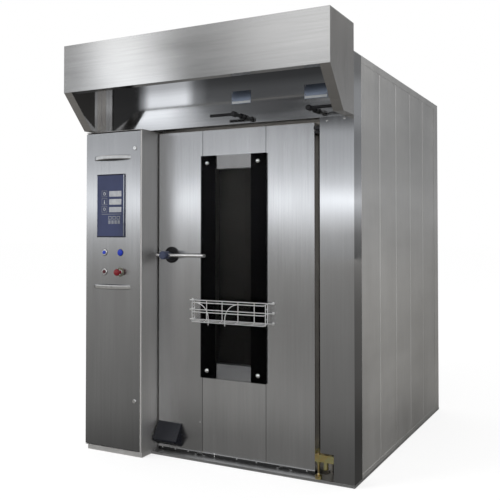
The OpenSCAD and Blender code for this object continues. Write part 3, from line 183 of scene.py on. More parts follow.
def brushed(name, colour, rough, grain, smear=None, contrast=0.08, smudge=0.06, wave=0.35, low=1.0,
            patchy=0.06, drift=(1, 1, 1), shades=()):
    """Brushed or satin steel. grain stretches the fine lines: a small number lies along them.
    smear is (axis, amount) for reflections drawn out across the lines, wave the sheet's slight dents,
    low the painted light that makes the lower end paler, patchy and drift the depth and stretch of the
    broad wiping marks, and shades lists painted light and shade along an axis as (axis, from, to, tint at
    from, tint at to)."""
    r = Recipe(name, colour, rough, 1.0)
    fine = r.noise(170, 3, grain, 0.6)
    broad = r.noise(14, 3, tuple(0.5 * g + 0.08 for g in grain))
    stain = r.noise(1.9, 3, drift)
    lines = r.ramp(fine, [(0.2, tint(colour, 1 - contrast)), (0.8, tint(colour, 1 + contrast))])
    clouds = r.ramp(broad, [(0.2, (1 - smudge,) * 3), (0.8, (1 + smudge * 0.5,) * 3)])
    base = r.blend(1.0, lines, clouds, "MULTIPLY")
    hand = r.ramp(stain, [(0.25, (1 - patchy,) * 3), (0.7, (1.0,) * 3)])
    shade = r.blend(1.0, base, hand, "MULTIPLY")
    # painted light: the lower end is made paler, fading out by 0.9 m up
    if low != 1.0:
        painted_lower_light = r.blend(1.0, shade, (low,) * 3, "MULTIPLY")
        shade = r.blend(r.spread(r.height(), 1.0, 0.0, 0.0, 0.9), shade, painted_lower_light)
    # painted light and shade: a brightness gradient along one axis
    for axis, start, stop, first, last in shades:
        painted_gradient = r.blend(r.spread(r.height(axis), 0.0, 1.0, start, stop), (first,) * 3, (last,) * 3)
        shade = r.blend(1.0, shade, painted_gradient, "MULTIPLY")
    r.feed("Base Color", shade)
    r.feed("Roughness", r.spread(broad, rough - 0.03, rough + 0.04))
    if smear:
        r.brush_along(*smear)
    dents = r.add("ShaderNodeMath", operation="MULTIPLY_ADD")
    dents.inputs[1].default_value = wave
    r.link(r.noise(2.6, 1), dents.inputs[0])
    lift = r.add("ShaderNodeMath", operation="MULTIPLY")
    lift.inputs[1].default_value = 0.012
    r.link(fine, lift.inputs[0])
    r.link(lift.outputs[0], dents.inputs[2])
    r.bump(dents.outputs[0], 1.0, 0.0012, 0.0012)
    return r.material


def cast(name, colour, rough, metal, size=90, strength=0.25, edge=0.001, variation=0.12, gloss=0.4):
    """A cast, moulded or painted surface with a fine skin."""
    r = Recipe(name, colour, rough, metal)
    r.set("Specular IOR Level", gloss)
    grains = r.noise(size * 3, 2)
    cloud = r.noise(size / 12, 4)
    shade = r.ramp(cloud, [(0.3, tint(colour, 1 - variation)), (0.7, tint(colour, 1 + variation))])
    r.feed("Base Color", shade)
    r.feed("Roughness", r.spread(cloud, rough - 0.04, rough + 0.05))
    r.bump(grains, strength, 0.0002, edge)
    return r.material


def polished(name, colour, rough=0.12):
    """Chrome or polished steel with faint wiping marks."""
    r = Recipe(name, colour, rough, 1.0)
    wipe = r.noise(60, 3, (1, 1, 0.3))
    r.feed("Base Color", r.ramp(wipe, [(0.3, tint(colour, 0.92)), (0.7, colour)]))
    r.feed("Roughness", r.spread(wipe, rough - 0.03, rough + 0.06))
    r.bump(wipe, 0.03, 0.0002, 0.0006)
    return r.material


def zinc():
    """Yellow zinc plating with greenish and brownish patches; the upper hinge, under the hood, is black."""
    r = Recipe("yellow_zinc", (0.55, 0.42, 0.18), 0.34, 1.0)
    patch = r.noise(26, 4)
    plating = r.ramp(patch, [(0.25, (0.36, 0.30, 0.22)), (0.45, (0.58, 0.45, 0.18)),
                             (0.62, (0.50, 0.48, 0.24)), (0.8, (0.62, 0.46, 0.20))])
    upper = r.spread(r.height(), 0, 1, 0.9, 1.1)
    r.feed("Base Color", r.blend(upper, plating, (0.03, 0.03, 0.032)))
    r.feed("Roughness", r.spread(patch, 0.28, 0.42))
    r.bump(r.noise(400, 2), 0.15, 0.0002, 0.001)
    return r.material


def pane_glass():
    """The outer pane is clear and a little wiped, and painted shade makes it darker towards the floor; the
    inner one is smoke-tinted.
    The two are told apart by their depth."""
    r = Recipe("door_glass", (0.85, 0.86, 0.86), 0.02)
    r.set("IOR", 1.05)
    marks = r.noise(4, 3)
    panes = (-0.70, -0.67)
    inner = r.spread(r.height("Y"), 0, 1, *panes)
    # painted shade: the outer pane's tint darkens towards the floor
    clear = r.blend(r.spread(r.height(), 0, 1, 0.6, 1.65), (0.42, 0.42, 0.42), (0.72, 0.72, 0.72))
    filmed = r.blend(1.0, clear, r.ramp(marks, [(0.3, (0.97,) * 3), (0.7, (1.0,) * 3)]), "MULTIPLY")
    r.feed("Base Color", r.blend(inner, filmed, (0.40, 0.40, 0.39)))
    r.feed("Transmission Weight", r.spread(r.height("Y"), 1.0, 0.93, *panes))
    r.feed("Roughness", r.spread(marks, 0.01, 0.05))
    return r.material


def enamel():
    """Black enamel fired on the back of the outer pane."""
    r = Recipe("black_enamel", (0.003, 0.003, 0.004), 0.6)
    r.set("Specular IOR Level", 0.05)
    cloud = r.noise(9, 3)
    r.feed("Base Color", r.ramp(cloud, [(0.3, (0.002, 0.002, 0.003)), (0.7, (0.005, 0.005, 0.006))]))
    r.feed("Roughness", r.spread(cloud, 0.5, 0.7))
    r.bump(cloud, 0.05, 0.0001)
    return r.material


def lit_window():
    """A pale indicator window, faintly lit from behind."""
    r = Recipe("pale_window", (0.36, 0.37, 0.39), 0.3)
    glow = r.noise(30, 2)
    r.feed("Base Color", r.ramp(glow, [(0.3, (0.30, 0.31, 0.34)), (0.7, (0.40, 0.41, 0.42))]))
    r.set("Emission Color", (0.62, 0.68, 0.78, 1))
    r.set("Emission Strength", 0.02)
    r.bump(glow, 0.02, 0.0002)
    return r.material


def wool_mat():
    r = Recipe("mineral_wool", (0.52, 0.44, 0.24), 0.95)
    fibre = r.noise(90, 5, (1, 1, 6), 0.7)
    r.feed("Base Color", r.ramp(fibre, [(0.25, (0.36, 0.30, 0.16)), (0.75, (0.62, 0.55, 0.34))]))
    r.bump(fibre, 0.8, 0.004)
    return r.material


def pillar_steel():
    """The smooth pillars; the right-hand one's return, facing sideways, carries painted shade below eye
    level.
    """
    upright = (1.0, 1.0, 0.012)
    material = brushed("pillar_steel", (0.41, 0.415, 0.425), 0.085, upright, ("Z", 0.8), contrast=0.03)
    r = Recipe.on(material)
    # painted shade: the sideways return is darkened below eye level
    side = r.spread(r.height("X"), 0.0, 1.0, 0.8390, 0.8398)
    below = r.spread(r.height(), 1.0, 0.0, 0.85, 1.55)
    both = r.add("ShaderNodeMath", operation="MULTIPLY")
    r.link(side, both.inputs[0])
    r.link(below, both.inputs[1])
    base = r.shader.inputs["Base Color"].links[0].from_socket
    r.feed("Base Color", r.blend(both.outputs[0], base, (0.085, 0.085, 0.088)))
    return material


def make_materials():
    upright, level, slant = (1.0, 1.0, 0.012), (0.012, 1.0, 1.0), (0.05, 1.0, 0.05)
    across, up, side_up = ("Z", 0.92), ("X", 0.9), ("Y", 0.85)
    door_grey = (0.46, 0.465, 0.475)
    return {
        # low is painted light: the lower end of the door's face sheets is made paler; lock_side_steel, the
        # left panel beside the cabinet, is a copy with less of it, a painted shade
        "front_steel": brushed("front_steel", door_grey, 0.2, upright, across, contrast=0.045,
                               low=1.7, patchy=0.1),
        "lock_side_steel": brushed("lock_side_steel", door_grey, 0.2, upright, across, contrast=0.045,
                                   low=1.35, patchy=0.1),
        "pillar_steel": pillar_steel(),
        "cabinet_steel": brushed("cabinet_steel", (0.40, 0.405, 0.415), 0.2, upright, across,
                                 contrast=0.05),
        "hood_steel": brushed("hood_steel", (0.47, 0.47, 0.47), 0.14, level, up, contrast=0.045),
        "hood_side_steel": brushed("hood_side_steel", (0.42, 0.41, 0.40), 0.22, slant, side_up),
        "header_steel": brushed("header_steel", (0.44, 0.445, 0.455), 0.09, level, ("X", 0.4),
                                contrast=0.03, wave=0.5),
        # low is painted light: a paler lower end
        "cabinet_side_steel": brushed("cabinet_side_steel", (0.64, 0.63, 0.62), 0.5, upright, contrast=0.04,
                                      wave=0.1, low=1.35),
        # low and shades are painted light: a paler lower end, and the walls lighter towards the front
        "wall_steel": brushed("wall_steel", (0.465, 0.46, 0.452), 0.42, (1.0, 1.0, 0.05), contrast=0.04,
                              wave=0.2, low=1.25, patchy=0.2, drift=(0.4, 0.35, 1.3),
                              shades=[("Y", -0.65, 0.9, 1.32, 1.05)]),
        "roof_steel": brushed("roof_steel", (0.44, 0.44, 0.44), 0.42, (0.05, 1.0, 1.0), contrast=0.04),
        "chamber_steel": brushed("chamber_steel", (0.42, 0.40, 0.37), 0.36, level, contrast=0.06,
                                 smudge=0.14),
        "base_steel": brushed("base_steel", (0.44, 0.44, 0.44), 0.42, level, contrast=0.08, smudge=0.16),
        "pipe_steel": brushed("pipe_steel", (0.46, 0.46, 0.45), 0.30, (1, 1, 0.2), contrast=0.06),
        "chrome": polished("chrome", (0.78, 0.78, 0.78), 0.12),
        "bright_steel": polished("bright_steel", (0.52, 0.52, 0.52), 0.1),
        "basket_wire": polished("basket_wire", (0.86, 0.86, 0.86), 0.42),
        "yellow_zinc": zinc(),
        "black_moulding": cast("black_moulding", (0.006, 0.006, 0.008), 0.38, 0.0, 120, 0.2, gloss=0.3),
        "hub_blue": cast("hub_blue", (0.032, 0.040, 0.075), 0.4, 0.0, 110, 0.2, gloss=0.35),
        "black_paint": cast("black_paint", (0.006, 0.007, 0.012), 0.3, 0.0, 60, 0.1, gloss=0.3),
        "seam_black": cast("seam_black", (0.012, 0.012, 0.012), 0.7, 0.0, 60, 0.1, 0.0),
        "rubber": cast("rubber", (0.02, 0.02, 0.02), 0.75, 0.0, 80, 0.5, 0.0),
        "dark_iron": cast("dark_iron", (0.06, 0.058, 0.055), 0.6, 0.6, 40, 0.6),
        "element": cast("element", (0.10, 0.085, 0.075), 0.55, 0.7, 60, 0.3),
        "motor_paint": cast("motor_paint", (0.06, 0.13, 0.21), 0.42, 0.0, 70, 0.4),
        "pale_plastic": cast("pale_plastic", (0.48, 0.48, 0.45), 0.45, 0.0, 100, 0.2),
        "black_enamel": enamel(),
        "panel_foil": cast("panel_foil", (0.034, 0.043, 0.098), 0.42, 0.0, 90, 0.1, 0.0008, gloss=0.3),
        "panel_edge": polished("panel_edge", (0.55, 0.58, 0.62), 0.25),
        "panel_frame": cast("panel_frame", (0.008, 0.009, 0.018), 0.4, 0.0, 90, 0.1, 0.0004, gloss=0.3),
        "key_foil": cast("key_foil", (0.17, 0.18, 0.21), 0.4, 0.0, 90, 0.1, 0.0005),
        "plug_grey": cast("plug_grey", (0.12, 0.12, 0.12), 0.45, 0.0, 90, 0.1, 0.0005),
        "plate_foil": brushed("plate_foil", (0.18, 0.21, 0.27), 0.34, level, contrast=0.03),
        "plate_strip": cast("plate_strip", (0.62, 0.64, 0.66), 0.35, 0.0, 90, 0.1, 0.0003),
        "blue_cap": cast("blue_cap", (0.008, 0.030, 0.36), 0.25, 0.0, 90, 0.08),
        "dark_red_cap": cast("dark_red_cap", (0.06, 0.006, 0.010), 0.25, 0.0, 90, 0.08),
        "red_cap": cast("red_cap", (0.15, 0.003, 0.009), 0.22, 0.0, 90, 0.1),
        "olive_ring": cast("olive_ring", (0.11, 0.11, 0.08), 0.5, 0.0, 90, 0.1, 0.0005),
        "glass": pane_glass(),
        "lamp_glass": cast("lamp_glass", (0.72, 0.70, 0.62), 0.25, 0.0, 60, 0.1),
        "pale_window": lit_window(),
        "wool": wool_mat(),
    }


NODE_FINISH = {
    "base_frame": "base_steel", "posts_and_rails": "wall_steel", "side_planks": "wall_steel",
    "rear_planks": "wall_steel", "roof_panel": "roof_steel", "front_pillars": "pillar_steel",
    "header_panel": "header_steel", "portal_frame": "chamber_steel",
    "chamber_walls": "chamber_steel", "air_louvres": "chamber_steel",
    "chamber_ceiling": "chamber_steel", "floor_pan": "chamber_steel",
    "turntable_bearing": "dark_iron", "insulation": "wool", "heater_elements": "element",
    "steam_cascade": "dark_iron", "fan_baffle": "chamber_steel", "service_fittings": "pipe_steel",
    "chamber_lamps": "lamp_glass", "gear_motor": "motor_paint", "fan_motor": "motor_paint",
    "flue_pipes": "pipe_steel", "hood_fascia": "hood_steel", "hood_top": "hood_steel",
    "hood_sides": "hood_side_steel", "control_box": "cabinet_side_steel", "electrics": "pale_plastic",
    "hinge_brackets": "yellow_zinc", "door_left_panel": "lock_side_steel",
    "door_middle_panel": "front_steel", "door_right_panel": "front_steel",
    "door_leaf": "wall_steel", "door_wool": "wool", "door_glasses": "glass",
    "dome_nuts": "chrome", "door_gasket": "rubber", "bottom_seal": "rubber",
    "handle_rosette": "black_moulding", "latch_cover": "black_paint", "wire_basket": "basket_wire",
    "door_hinge_arms": "yellow_zinc", "handle_hub": "hub_blue", "handle_lever": "chrome",
    "control_door": "cabinet_steel", "display_panel": "panel_foil", "bow_handles": "bright_steel",
    "button_bezels": "chrome", "upper_lock": "chrome", "lower_lock": "chrome",
    "start_button": "blue_cap", "lamp_button": "blue_cap", "stop_button": "dark_red_cap",
    "emergency_button": "red_cap", "damper_left": "pipe_steel", "damper_right": "pipe_steel",
    "damper_grip_left": "black_moulding", "damper_grip_right": "black_moulding",
    "turntable": "chamber_steel", "drive_yoke": "chamber_steel", "fan_impeller": "chamber_steel",
}


# Mesh helpers ---------------------------------------------------------------

def piece(name, mesh, body, finish):
    obj = bpy.data.objects.new(name, mesh)
    bpy.context.scene.collection.objects.link(obj)
    if finish is not None:
        mesh.materials.clear()
        mesh.materials.append(MAT[finish])
    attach(obj, body)


def smooth_but_sharp(mesh):
    """Shades a mesh smoothly except over edges that bend by more than 35 degrees."""
    for polygon in mesh.polygons:
        polygon.use_smooth = True
    mesh.set_sharp_from_angle(angle=math.radians(35))


def mesh_from(name, bm):
    bmesh.ops.recalc_face_normals(bm, faces=bm.faces)
    mesh = bpy.data.meshes.new(name)
    bm.to_mesh(mesh)
    bm.free()
    smooth_but_sharp(mesh)
    return mesh


def add_block(bm, low, high, rounding=0.0):
    """A block between two corners (x, depth, z), with rounded edges."""
    a, b = at(*low), at(*high)
    made = bmesh.ops.create_cube(bm, size=1.0)["verts"]
    for v in made:
        v.co = Vector((a.x + (v.co.x + 0.5) * (b.x - a.x), a.y + (v.co.y + 0.5) * (b.y - a.y),
                       a.z + (v.co.z + 0.5) * (b.z - a.z)))
    if rounding:
        edges = list({e for v in made for e in v.link_edges})
        bmesh.ops.bevel(bm, geom=edges, offset=rounding / 1000, segments=2, profile=0.5,
                        affect="EDGES", clamp_overlap=True)


def add_turned(bm, centre, direction, profile, steps=32):
    """A turned piece: profile is (radius, distance along direction) in millimetres."""
    turn = Vector((0, 0, 1)).rotation_difference(Vector(direction)).to_matrix()
    middle = at(*centre)
    rings = []
    for radius, along in profile:
        if radius <= 0:
            rings.append([bm.verts.new(middle + turn @ Vector((0, 0, along / 1000)))])
            continue
        rings.append([bm.verts.new(middle + turn @ Vector((
            radius / 1000 * math.cos(2 * math.pi * i / steps),
            radius / 1000 * math.sin(2 * math.pi * i / steps), along / 1000)))
            for i in range(steps)])
    for lower, upper in zip(rings, rings[1:]):
        for i in range(steps):
            j = (i + 1) % steps
            if len(lower) == 1 and len(upper) == 1:
                continue
            if len(lower) == 1:
                bm.faces.new((lower[0], upper[i], upper[j]))
            elif len(upper) == 1:
                bm.faces.new((lower[i], lower[j], upper[0]))
            else:
                bm.faces.new((lower[i], lower[j], upper[j], upper[i]))


# Screw heads, set out by Geometry Nodes --------------------------------------

def screw_tree():
    """Puts a domed head with a washer on every point of the input mesh; the lengths are in metres."""
    tree = bpy.data.node_groups.new("screw_heads", "GeometryNodeTree")
    face = tree.interface
    face.new_socket("Geometry", in_out="INPUT", socket_type="NodeSocketGeometry")
    face.new_socket("Head Radius", in_out="INPUT", socket_type="NodeSocketFloat")
    face.new_socket("Washer Radius", in_out="INPUT", socket_type="NodeSocketFloat")
    face.new_socket("Facing", in_out="INPUT", socket_type="NodeSocketVector")
    face.new_socket("Finish", in_out="INPUT", socket_type="NodeSocketMaterial")
    face.new_socket("Geometry", in_out="OUTPUT", socket_type="NodeSocketGeometry")
    nodes, links = tree.nodes, tree.links
    start, end = nodes.new("NodeGroupInput"), nodes.new("NodeGroupOutput")
    dome = nodes.new("GeometryNodeMeshUVSphere")
    dome.inputs["Segments"].default_value = 16
    dome.inputs["Rings"].default_value = 8
    links.new(start.outputs["Head Radius"], dome.inputs["Radius"])
    flat = nodes.new("GeometryNodeTransform")
    flat.inputs["Scale"].default_value = (1, 1, 0.55)
    links.new(dome.outputs["Mesh"], flat.inputs["Geometry"])
    washer = nodes.new("GeometryNodeMeshCylinder")
    washer.inputs["Vertices"].default_value = 20
    washer.inputs["Depth"].default_value = 0.0016
    links.new(start.outputs["Washer Radius"], washer.inputs["Radius"])
    join = nodes.new("GeometryNodeJoinGeometry")
    links.new(flat.outputs["Geometry"], join.inputs["Geometry"])
    links.new(washer.outputs["Mesh"], join.inputs["Geometry"])
    turn = nodes.new("FunctionNodeAlignRotationToVector")
    turn.axis = "Z"
    links.new(start.outputs["Facing"], turn.inputs["Vector"])
    spread = nodes.new("GeometryNodeInstanceOnPoints")
    links.new(start.outputs["Geometry"], spread.inputs["Points"])
    links.new(join.outputs["Geometry"], spread.inputs["Instance"])
    links.new(turn.outputs["Rotation"], spread.inputs["Rotation"])
    real = nodes.new("GeometryNodeRealizeInstances")
    links.new(spread.outputs["Instances"], real.inputs["Geometry"])
    finish = nodes.new("GeometryNodeSetMaterial")
    links.new(real.outputs["Geometry"], finish.inputs["Geometry"])
    links.new(start.outputs["Finish"], finish.inputs["Material"])
    links.new(finish.outputs["Geometry"], end.inputs["Geometry"])
    return tree


def bake_nodes(name, tree, points, values, body):
    """Runs a Geometry Nodes tree over loose points and keeps the result as a plain mesh."""
    mesh = bpy.data.meshes.new(name + "_points")
    mesh.from_pydata([tuple(p) for p in points], [], [])
    holder = bpy.data.objects.new(name + "_points", mesh)
    bpy.context.scene.collection.objects.link(holder)
    modifier = holder.modifiers.new("nodes", "NODES")
    modifier.node_group = tree
    keys = {s.name: s.identifier for s in tree.interface.items_tree
            if getattr(s, "in_out", "") == "INPUT" and s.name != "Geometry"}
    for key, value in values.items():
        modifier[keys[key]] = value
    holder.update_tag()
    bpy.context.view_layer.update()
    graph = bpy.context.evaluated_depsgraph_get()
    result = bpy.data.meshes.new_from_object(holder.evaluated_get(graph))
    holder.modifiers.remove(modifier)
    bpy.data.objects.remove(holder)
    bpy.data.meshes.remove(mesh)
    result.name = name
    smooth_but_sharp(result)
    piece(name, result, body, None)


def screws(name, places, facing, head, body, finish="bright_steel"):
    values = {"Head Radius": head / 1000, "Washer Radius": head * 1.35 / 1000,
              "Facing": facing, "Finish": MAT[finish]}
    bake_nodes(name, SCREWS, [at(*p) for p in places], values, body)


# Pieces ---------------------------------------------------------------------

def dress_nodes():
    for name, finish in NODE_FINISH.items():
        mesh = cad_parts[name].data
        mesh.materials.clear()
        mesh.materials.append(MAT[finish])


def glass_bands():
    """The black enamel bands down both sides of the outer pane."""
    bm = bmesh.new()
    depth, z = (55.05, 55.7), (470.5, 1755.5)
    for low, high in ((-117.2, -19.5), (210.5, 308.2)):
        add_block(bm, (low, depth[0], z[0]), (high, depth[1], z[1]))
    piece("glass_bands", mesh_from("glass_bands", bm), "door", "black_enamel")


def seam_strips():
    """What shows in the two upright seams between the door's face sheets."""
    bm = bmesh.new()
    half, depth = 1.4, (64.0, 64.8)
    for x in SEAMS:
        add_block(bm, (x - half, depth[0], DOOR_LOW), (x + half, depth[1], DOOR_HIGH))
    piece("seam_strips", mesh_from("seam_strips", bm), "door", "seam_black")


def button_rings():
    """Collars and gaskets of the buttons, and the plain disc behind the emergency button."""
    front = -103  # the bezels' face
    plain, lamp, stop = ((-697, 1191), (-697, 1075)), (-580, 1191), (-580, 1075)
    bm = bmesh.new()
    for x, z in (*plain, lamp):
        add_turned(bm, (x, front, z), FORWARD, [(15.6, 0), (21, 0), (21, 1.2), (19.4, 1.3), (15.6, 1.3),
                                                (15.6, 0)], 40)
    piece("button_gaskets", mesh_from("button_gaskets", bm), "cabinet_door", "black_moulding")
    bm = bmesh.new()
    for x, z in plain:
        add_turned(bm, (x, front, z), FORWARD, [(15.6, 1.3), (19.4, 1.3), (19.2, 3), (17.4, 5), (15.6, 5.4),
                                                (15.6, 1.3)], 40)
    piece("button_collars", mesh_from("button_collars", bm), "cabinet_door", "chrome")
    bm = bmesh.new()
    add_turned(bm, (lamp[0], front, lamp[1]), FORWARD, [
        (11.4, 5.2), (15.6, 3.2), (15.6, 1.3), (19.2, 1.3), (19, 3.2), (17, 6), (13, 8), (11.4, 8),
        (11.4, 5.2)], 40)
    piece("lamp_collar", mesh_from("lamp_collar", bm), "cabinet_door", "blue_cap")
    bm = bmesh.new()
    add_turned(bm, (stop[0], front, stop[1]), FORWARD, [
        (15.6, 0), (27, 0), (27, 1), (26.2, 1.6), (15.6, 1.6), (15.6, 0)], 48)
    piece("stop_disc", mesh_from("stop_disc", bm), "cabinet_door", "olive_ring")


def lever_sleeve():
    """The steel sleeve over the door lever's rod, and the dark plug in its end."""
    right = (1, 0, 0)
    start, end = LEVER_X
    length = end - start
    bm = bmesh.new()
    add_turned(bm, (start, LEVER_DEPTH, LEVER_Z), right, [
        (8.15, 0), (10, 0), (10.4, 0.6), (10.4, length - 1), (9.8, length), (8.15, length), (8.15, 0)], 40)
    piece("lever_sleeve", mesh_from("lever_sleeve", bm), "door_handle", "chrome")
    bm = bmesh.new()
    add_turned(bm, (end, LEVER_DEPTH, LEVER_Z), right, [
        (0, 5), (8.15, 5), (8.15, 0), (9.6, 0), (9.9, 1), (9.9, 6), (9, 9), (6, 11), (0, 11.6)], 40)
    piece("lever_plug", mesh_from("lever_plug", bm), "door_handle", "plug_grey")


def header_plates():
    """Two plain plates on the header, each with a pale strip along its lower edge."""
    plate, strip, screw = (26.6, 27.95), (26.2, 26.7), 26.4  # depths
    for name, x, z in (("left_plate", (103, 225), (2036, 2109)), ("right_plate", (550, 685), (2029, 2106))):
        bm = bmesh.new()
        add_block(bm, (x[0], plate[0], z[0]), (x[1], plate[1], z[1]), 0.5)
        piece(name, mesh_from(name, bm), "casing", "plate_foil")
        bm = bmesh.new()
        add_block(bm, (x[0] + 3, strip[0], z[0] + 3), (x[1] - 3, strip[1], z[0] + 16), 0.15)
        piece(name + "_strip", mesh_from(name + "_strip", bm), "casing", "plate_strip")
        corners = [(cx, screw, cz) for cx in (x[0] + 6, x[1] - 6) for cz in (z[0] + 22, z[1] - 6)]
        screws(name + "_screws", corners, FORWARD, 2.2, "casing")


def add_outline(bm, x, z, depth, width):
    """A thin square frame; x, z and depth are (low, high)."""
    for low, high in (((x[0], z[0]), (x[1], z[0] + width)), ((x[0], z[1] - width), (x[1], z[1])),
                      ((x[0], z[0] + width), (x[0] + width, z[1] - width)),
                      ((x[1] - width, z[0] + width), (x[1], z[1] - width))):
        add_block(bm, (low[0], depth[0], low[1]), (high[0], depth[1], high[1]), 0.15)


def display_details():
    """Windows, keys and the frame of the operating panel."""
    x0, x1, z0, z1 = -752, -546, 1281, 1659
    proud, face = -110, -108.4
    bm = bmesh.new()
    add_block(bm, (x1 - 8, proud, z0 + 4), (x1 - 3, face, z1 - 4), 0.5)
    add_block(bm, (x0 + 1, proud + 0.8, z0 + 4), (x0 + 3, face, z1 - 4), 0.3)
    piece("display_rim", mesh_from("display_rim", bm), "cabinet_door", "panel_edge")
    bm = bmesh.new()
    add_block(bm, (x0 + 0.5, proud, z0 + 0.5), (x1 - 0.5, face, z0 + 7), 0.6)
    add_block(bm, (x0 + 0.5, proud, z1 - 6), (x1 - 0.5, face, z1 - 0.5), 0.6)
    add_block(bm, (x1 - 3, proud, z0 + 7), (x1 - 0.5, face, z1 - 6), 0.6)
    piece("display_frame", mesh_from("display_frame", bm), "cabinet_door", "panel_frame")
    rows = ((1523, 1561), (1476, 1515), (1431, 1469))
    window_x, window_depth = (-671, -571), (-107.2, -106.4)
    bm = bmesh.new()
    for low, high in rows:
        add_block(bm, (window_x[0], window_depth[0], low), (window_x[1], window_depth[1], high), 0.4)
    piece("display_windows", mesh_from("display_windows", bm), "cabinet_door", "pale_window")
    bm = bmesh.new()
    key_depth = (-108.5, -107.8)
    for low, high in rows:
        add_outline(bm, (-717, -676), (low, high), key_depth, 2.6)
    for i in range(3):
        add_outline(bm, (-667 + 31 * i, -641 + 31 * i), (1387, 1408), key_depth, 5)
    for i in range(4):
        add_block(bm, (-667 + 23 * i, key_depth[0], 1361), (-649 + 23 * i, key_depth[1], 1383), 0.6)
    add_block(bm, (-717, key_depth[0], 1418), (window_x[1], -107.9, 1421.5), 0.2)
    piece("display_keys", mesh_from("display_keys", bm), "cabinet_door", "key_foil")
    bm = bmesh.new()
    mark_x, mark_depth = -696.5, -107.9
    for low, high in (rows[0], rows[2]):
        add_turned(bm, (mark_x, mark_depth, (low + high) / 2), FORWARD,
                   [(6, 0), (9.5, 0), (9.5, 0.5), (6, 0.5), (6, 0)], 24)
    add_block(bm, (mark_x - 2.5, key_depth[0], 1486), (mark_x + 2.5, mark_depth, 1505), 0.3)
    add_turned(bm, (mark_x, mark_depth, 1487), FORWARD, [(0, 0), (5, 0), (5, 0.6), (0, 0.7)], 20)
    piece("display_marks", mesh_from("display_marks", bm), "cabinet_door", "pale_window")


def seal_clips():
    """Bent clips and pins that hold the rubber blade under the door."""
    bm = bmesh.new()
    foot, slope, low, high, thick = 14, 9, 18, 29, 2.2
    for x0, x1 in ((-162, -90), (366, 462)):
        bends = [(x0, low), (x0 + foot, low), (x0 + foot + slope, high), (x1 - foot - slope, high),
                 (x1 - foot, low), (x1, low)]
        for (xa, za), (xb, zb) in zip(bends, bends[1:]):
            corners = [(xa, za), (xb, zb), (xb, zb + thick), (xa, za + thick)]
            front, rear = ([bm.verts.new(at(x, depth, z)) for x, z in corners] for depth in (59.5, 65.9))
            bm.faces.new(front)
            bm.faces.new(rear[::-1])
            for k in range(4):
                n = (k + 1) % 4
                bm.faces.new((front[k], rear[k], rear[n], front[n]))
    bmesh.ops.remove_doubles(bm, verts=bm.verts, dist=0.00005)
    piece("seal_clips", mesh_from("seal_clips", bm), "door", "bright_steel")
    bm = bmesh.new()
    for x, tall in ((-29, 21), (-28, 4)):
        add_turned(bm, (x, 62.6, low), UPWARD, [
            (0, 0), (2.6, 0.2), (3, 1), (3, tall - 1), (2.6, tall - 0.2), (0, tall)], 20)
    piece("seal_pins", mesh_from("seal_pins", bm), "door", "chrome")


def small_screws():
    screws("pillar_screws", [(691, -0.3, 1900), (788, -0.3, 1906)], FORWARD, 5, "casing")
    screws("strut_screws", [(-792, 1.7, 1944), (-792, 1.7, 1975)], FORWARD, 4, "casing")
    screws("door_screw", [(-127, 62.7, 205)], FORWARD, 5, "door")
    screws("latch_screws", [(-395, -0.2, 88), (-275, -0.2, 88)], FORWARD, 4.5, "door", "black_paint")
    screws("seal_screws", [(x, 65.8, 27) for x in (-390, -300, -209, 115, 240, 545)], FORWARD, 3.4, "door")
    screws("clip_screws", [(x, 59.6, 19) for x in (-155, -97, 373, 455)], FORWARD, 2.4, "door")
    screws("damper_screw", [(180, -45, 1970)], UPWARD, 4, "left_damper")
    roof = [(x, d, 2252.2) for x in range(-780, 820, 196) for d in (40, 1835)]
    screws("roof_screws", roof, UPWARD, 3.6, "casing")


# Stage ----------------------------------------------------------------------

STUDIO_RADIUS = 30.0


def glow(name, build, hue=None):
    """A light-giving material; build makes the brightness from the object's coordinates, and hue is
    (height, colour) stops from the floor upwards."""
    material = bpy.data.materials.new(name)
    material.use_nodes = True
    tree = material.node_tree
    tree.nodes.clear()
    split = tree.nodes.new("ShaderNodeSeparateXYZ")
    tree.links.new(tree.nodes.new("ShaderNodeTexCoord").outputs["Object"], split.inputs["Vector"])
    light = tree.nodes.new("ShaderNodeEmission")
    tree.links.new(build(tree, split), light.inputs["Strength"])
    if isinstance(hue, tuple):
        light.inputs["Color"].default_value = (*hue, 1)
    elif hue:
        tree.links.new(ramp_over(tree, split.outputs["Z"], hue), light.inputs["Color"])
    end = tree.nodes.new("ShaderNodeOutputMaterial")
    tree.links.new(light.outputs["Emission"], end.inputs["Surface"])
    return material


def ramp_over(tree, source, stops):
    """A colour that runs straight between stops of (value of source, colour)."""
    low, high = stops[0][0], stops[-1][0]
    rng = tree.nodes.new("ShaderNodeMapRange")
    rng.inputs["From Min"].default_value, rng.inputs["From Max"].default_value = low, high
    tree.links.new(source, rng.inputs["Value"])
    ramp = tree.nodes.new("ShaderNodeValToRGB")
    set_stops(ramp, [((where - low) / (high - low), colour) for where, colour in stops])
    tree.links.new(rng.outputs["Result"], ramp.inputs["Fac"])
    return ramp.outputs["Color"]


def curve_of(tree, source, stops):
    """A brightness that runs straight between stops of (value of source, brightness)."""
    top = max(bright for _, bright in stops)
    greys = [(where, (bright / top,) * 3) for where, bright in stops]
    return sum_of(tree, "MULTIPLY", ramp_over(tree, source, greys), top)


def sum_of(tree, operation, first, second=None, third=None):
    """The result of a Math node; each value is a number or another node's output."""
    node = tree.nodes.new("ShaderNodeMath")
    node.operation = operation
    for socket, value in zip(node.inputs, (first, second, third)):
        if isinstance(value, (int, float)):
            socket.default_value = value
        elif value is not None:
            tree.links.new(value, socket)
    return node.outputs[0]


def stage_object(name, mesh):
    obj = bpy.data.objects.new(name, mesh)
    bpy.context.scene.collection.objects.link(obj)
    return obj


def seen_by_metal_only(obj):
    for flag in ("visible_camera", "visible_diffuse", "visible_shadow", "visible_transmission",
                 "visible_volume_scatter"):
        setattr(obj, flag, False)


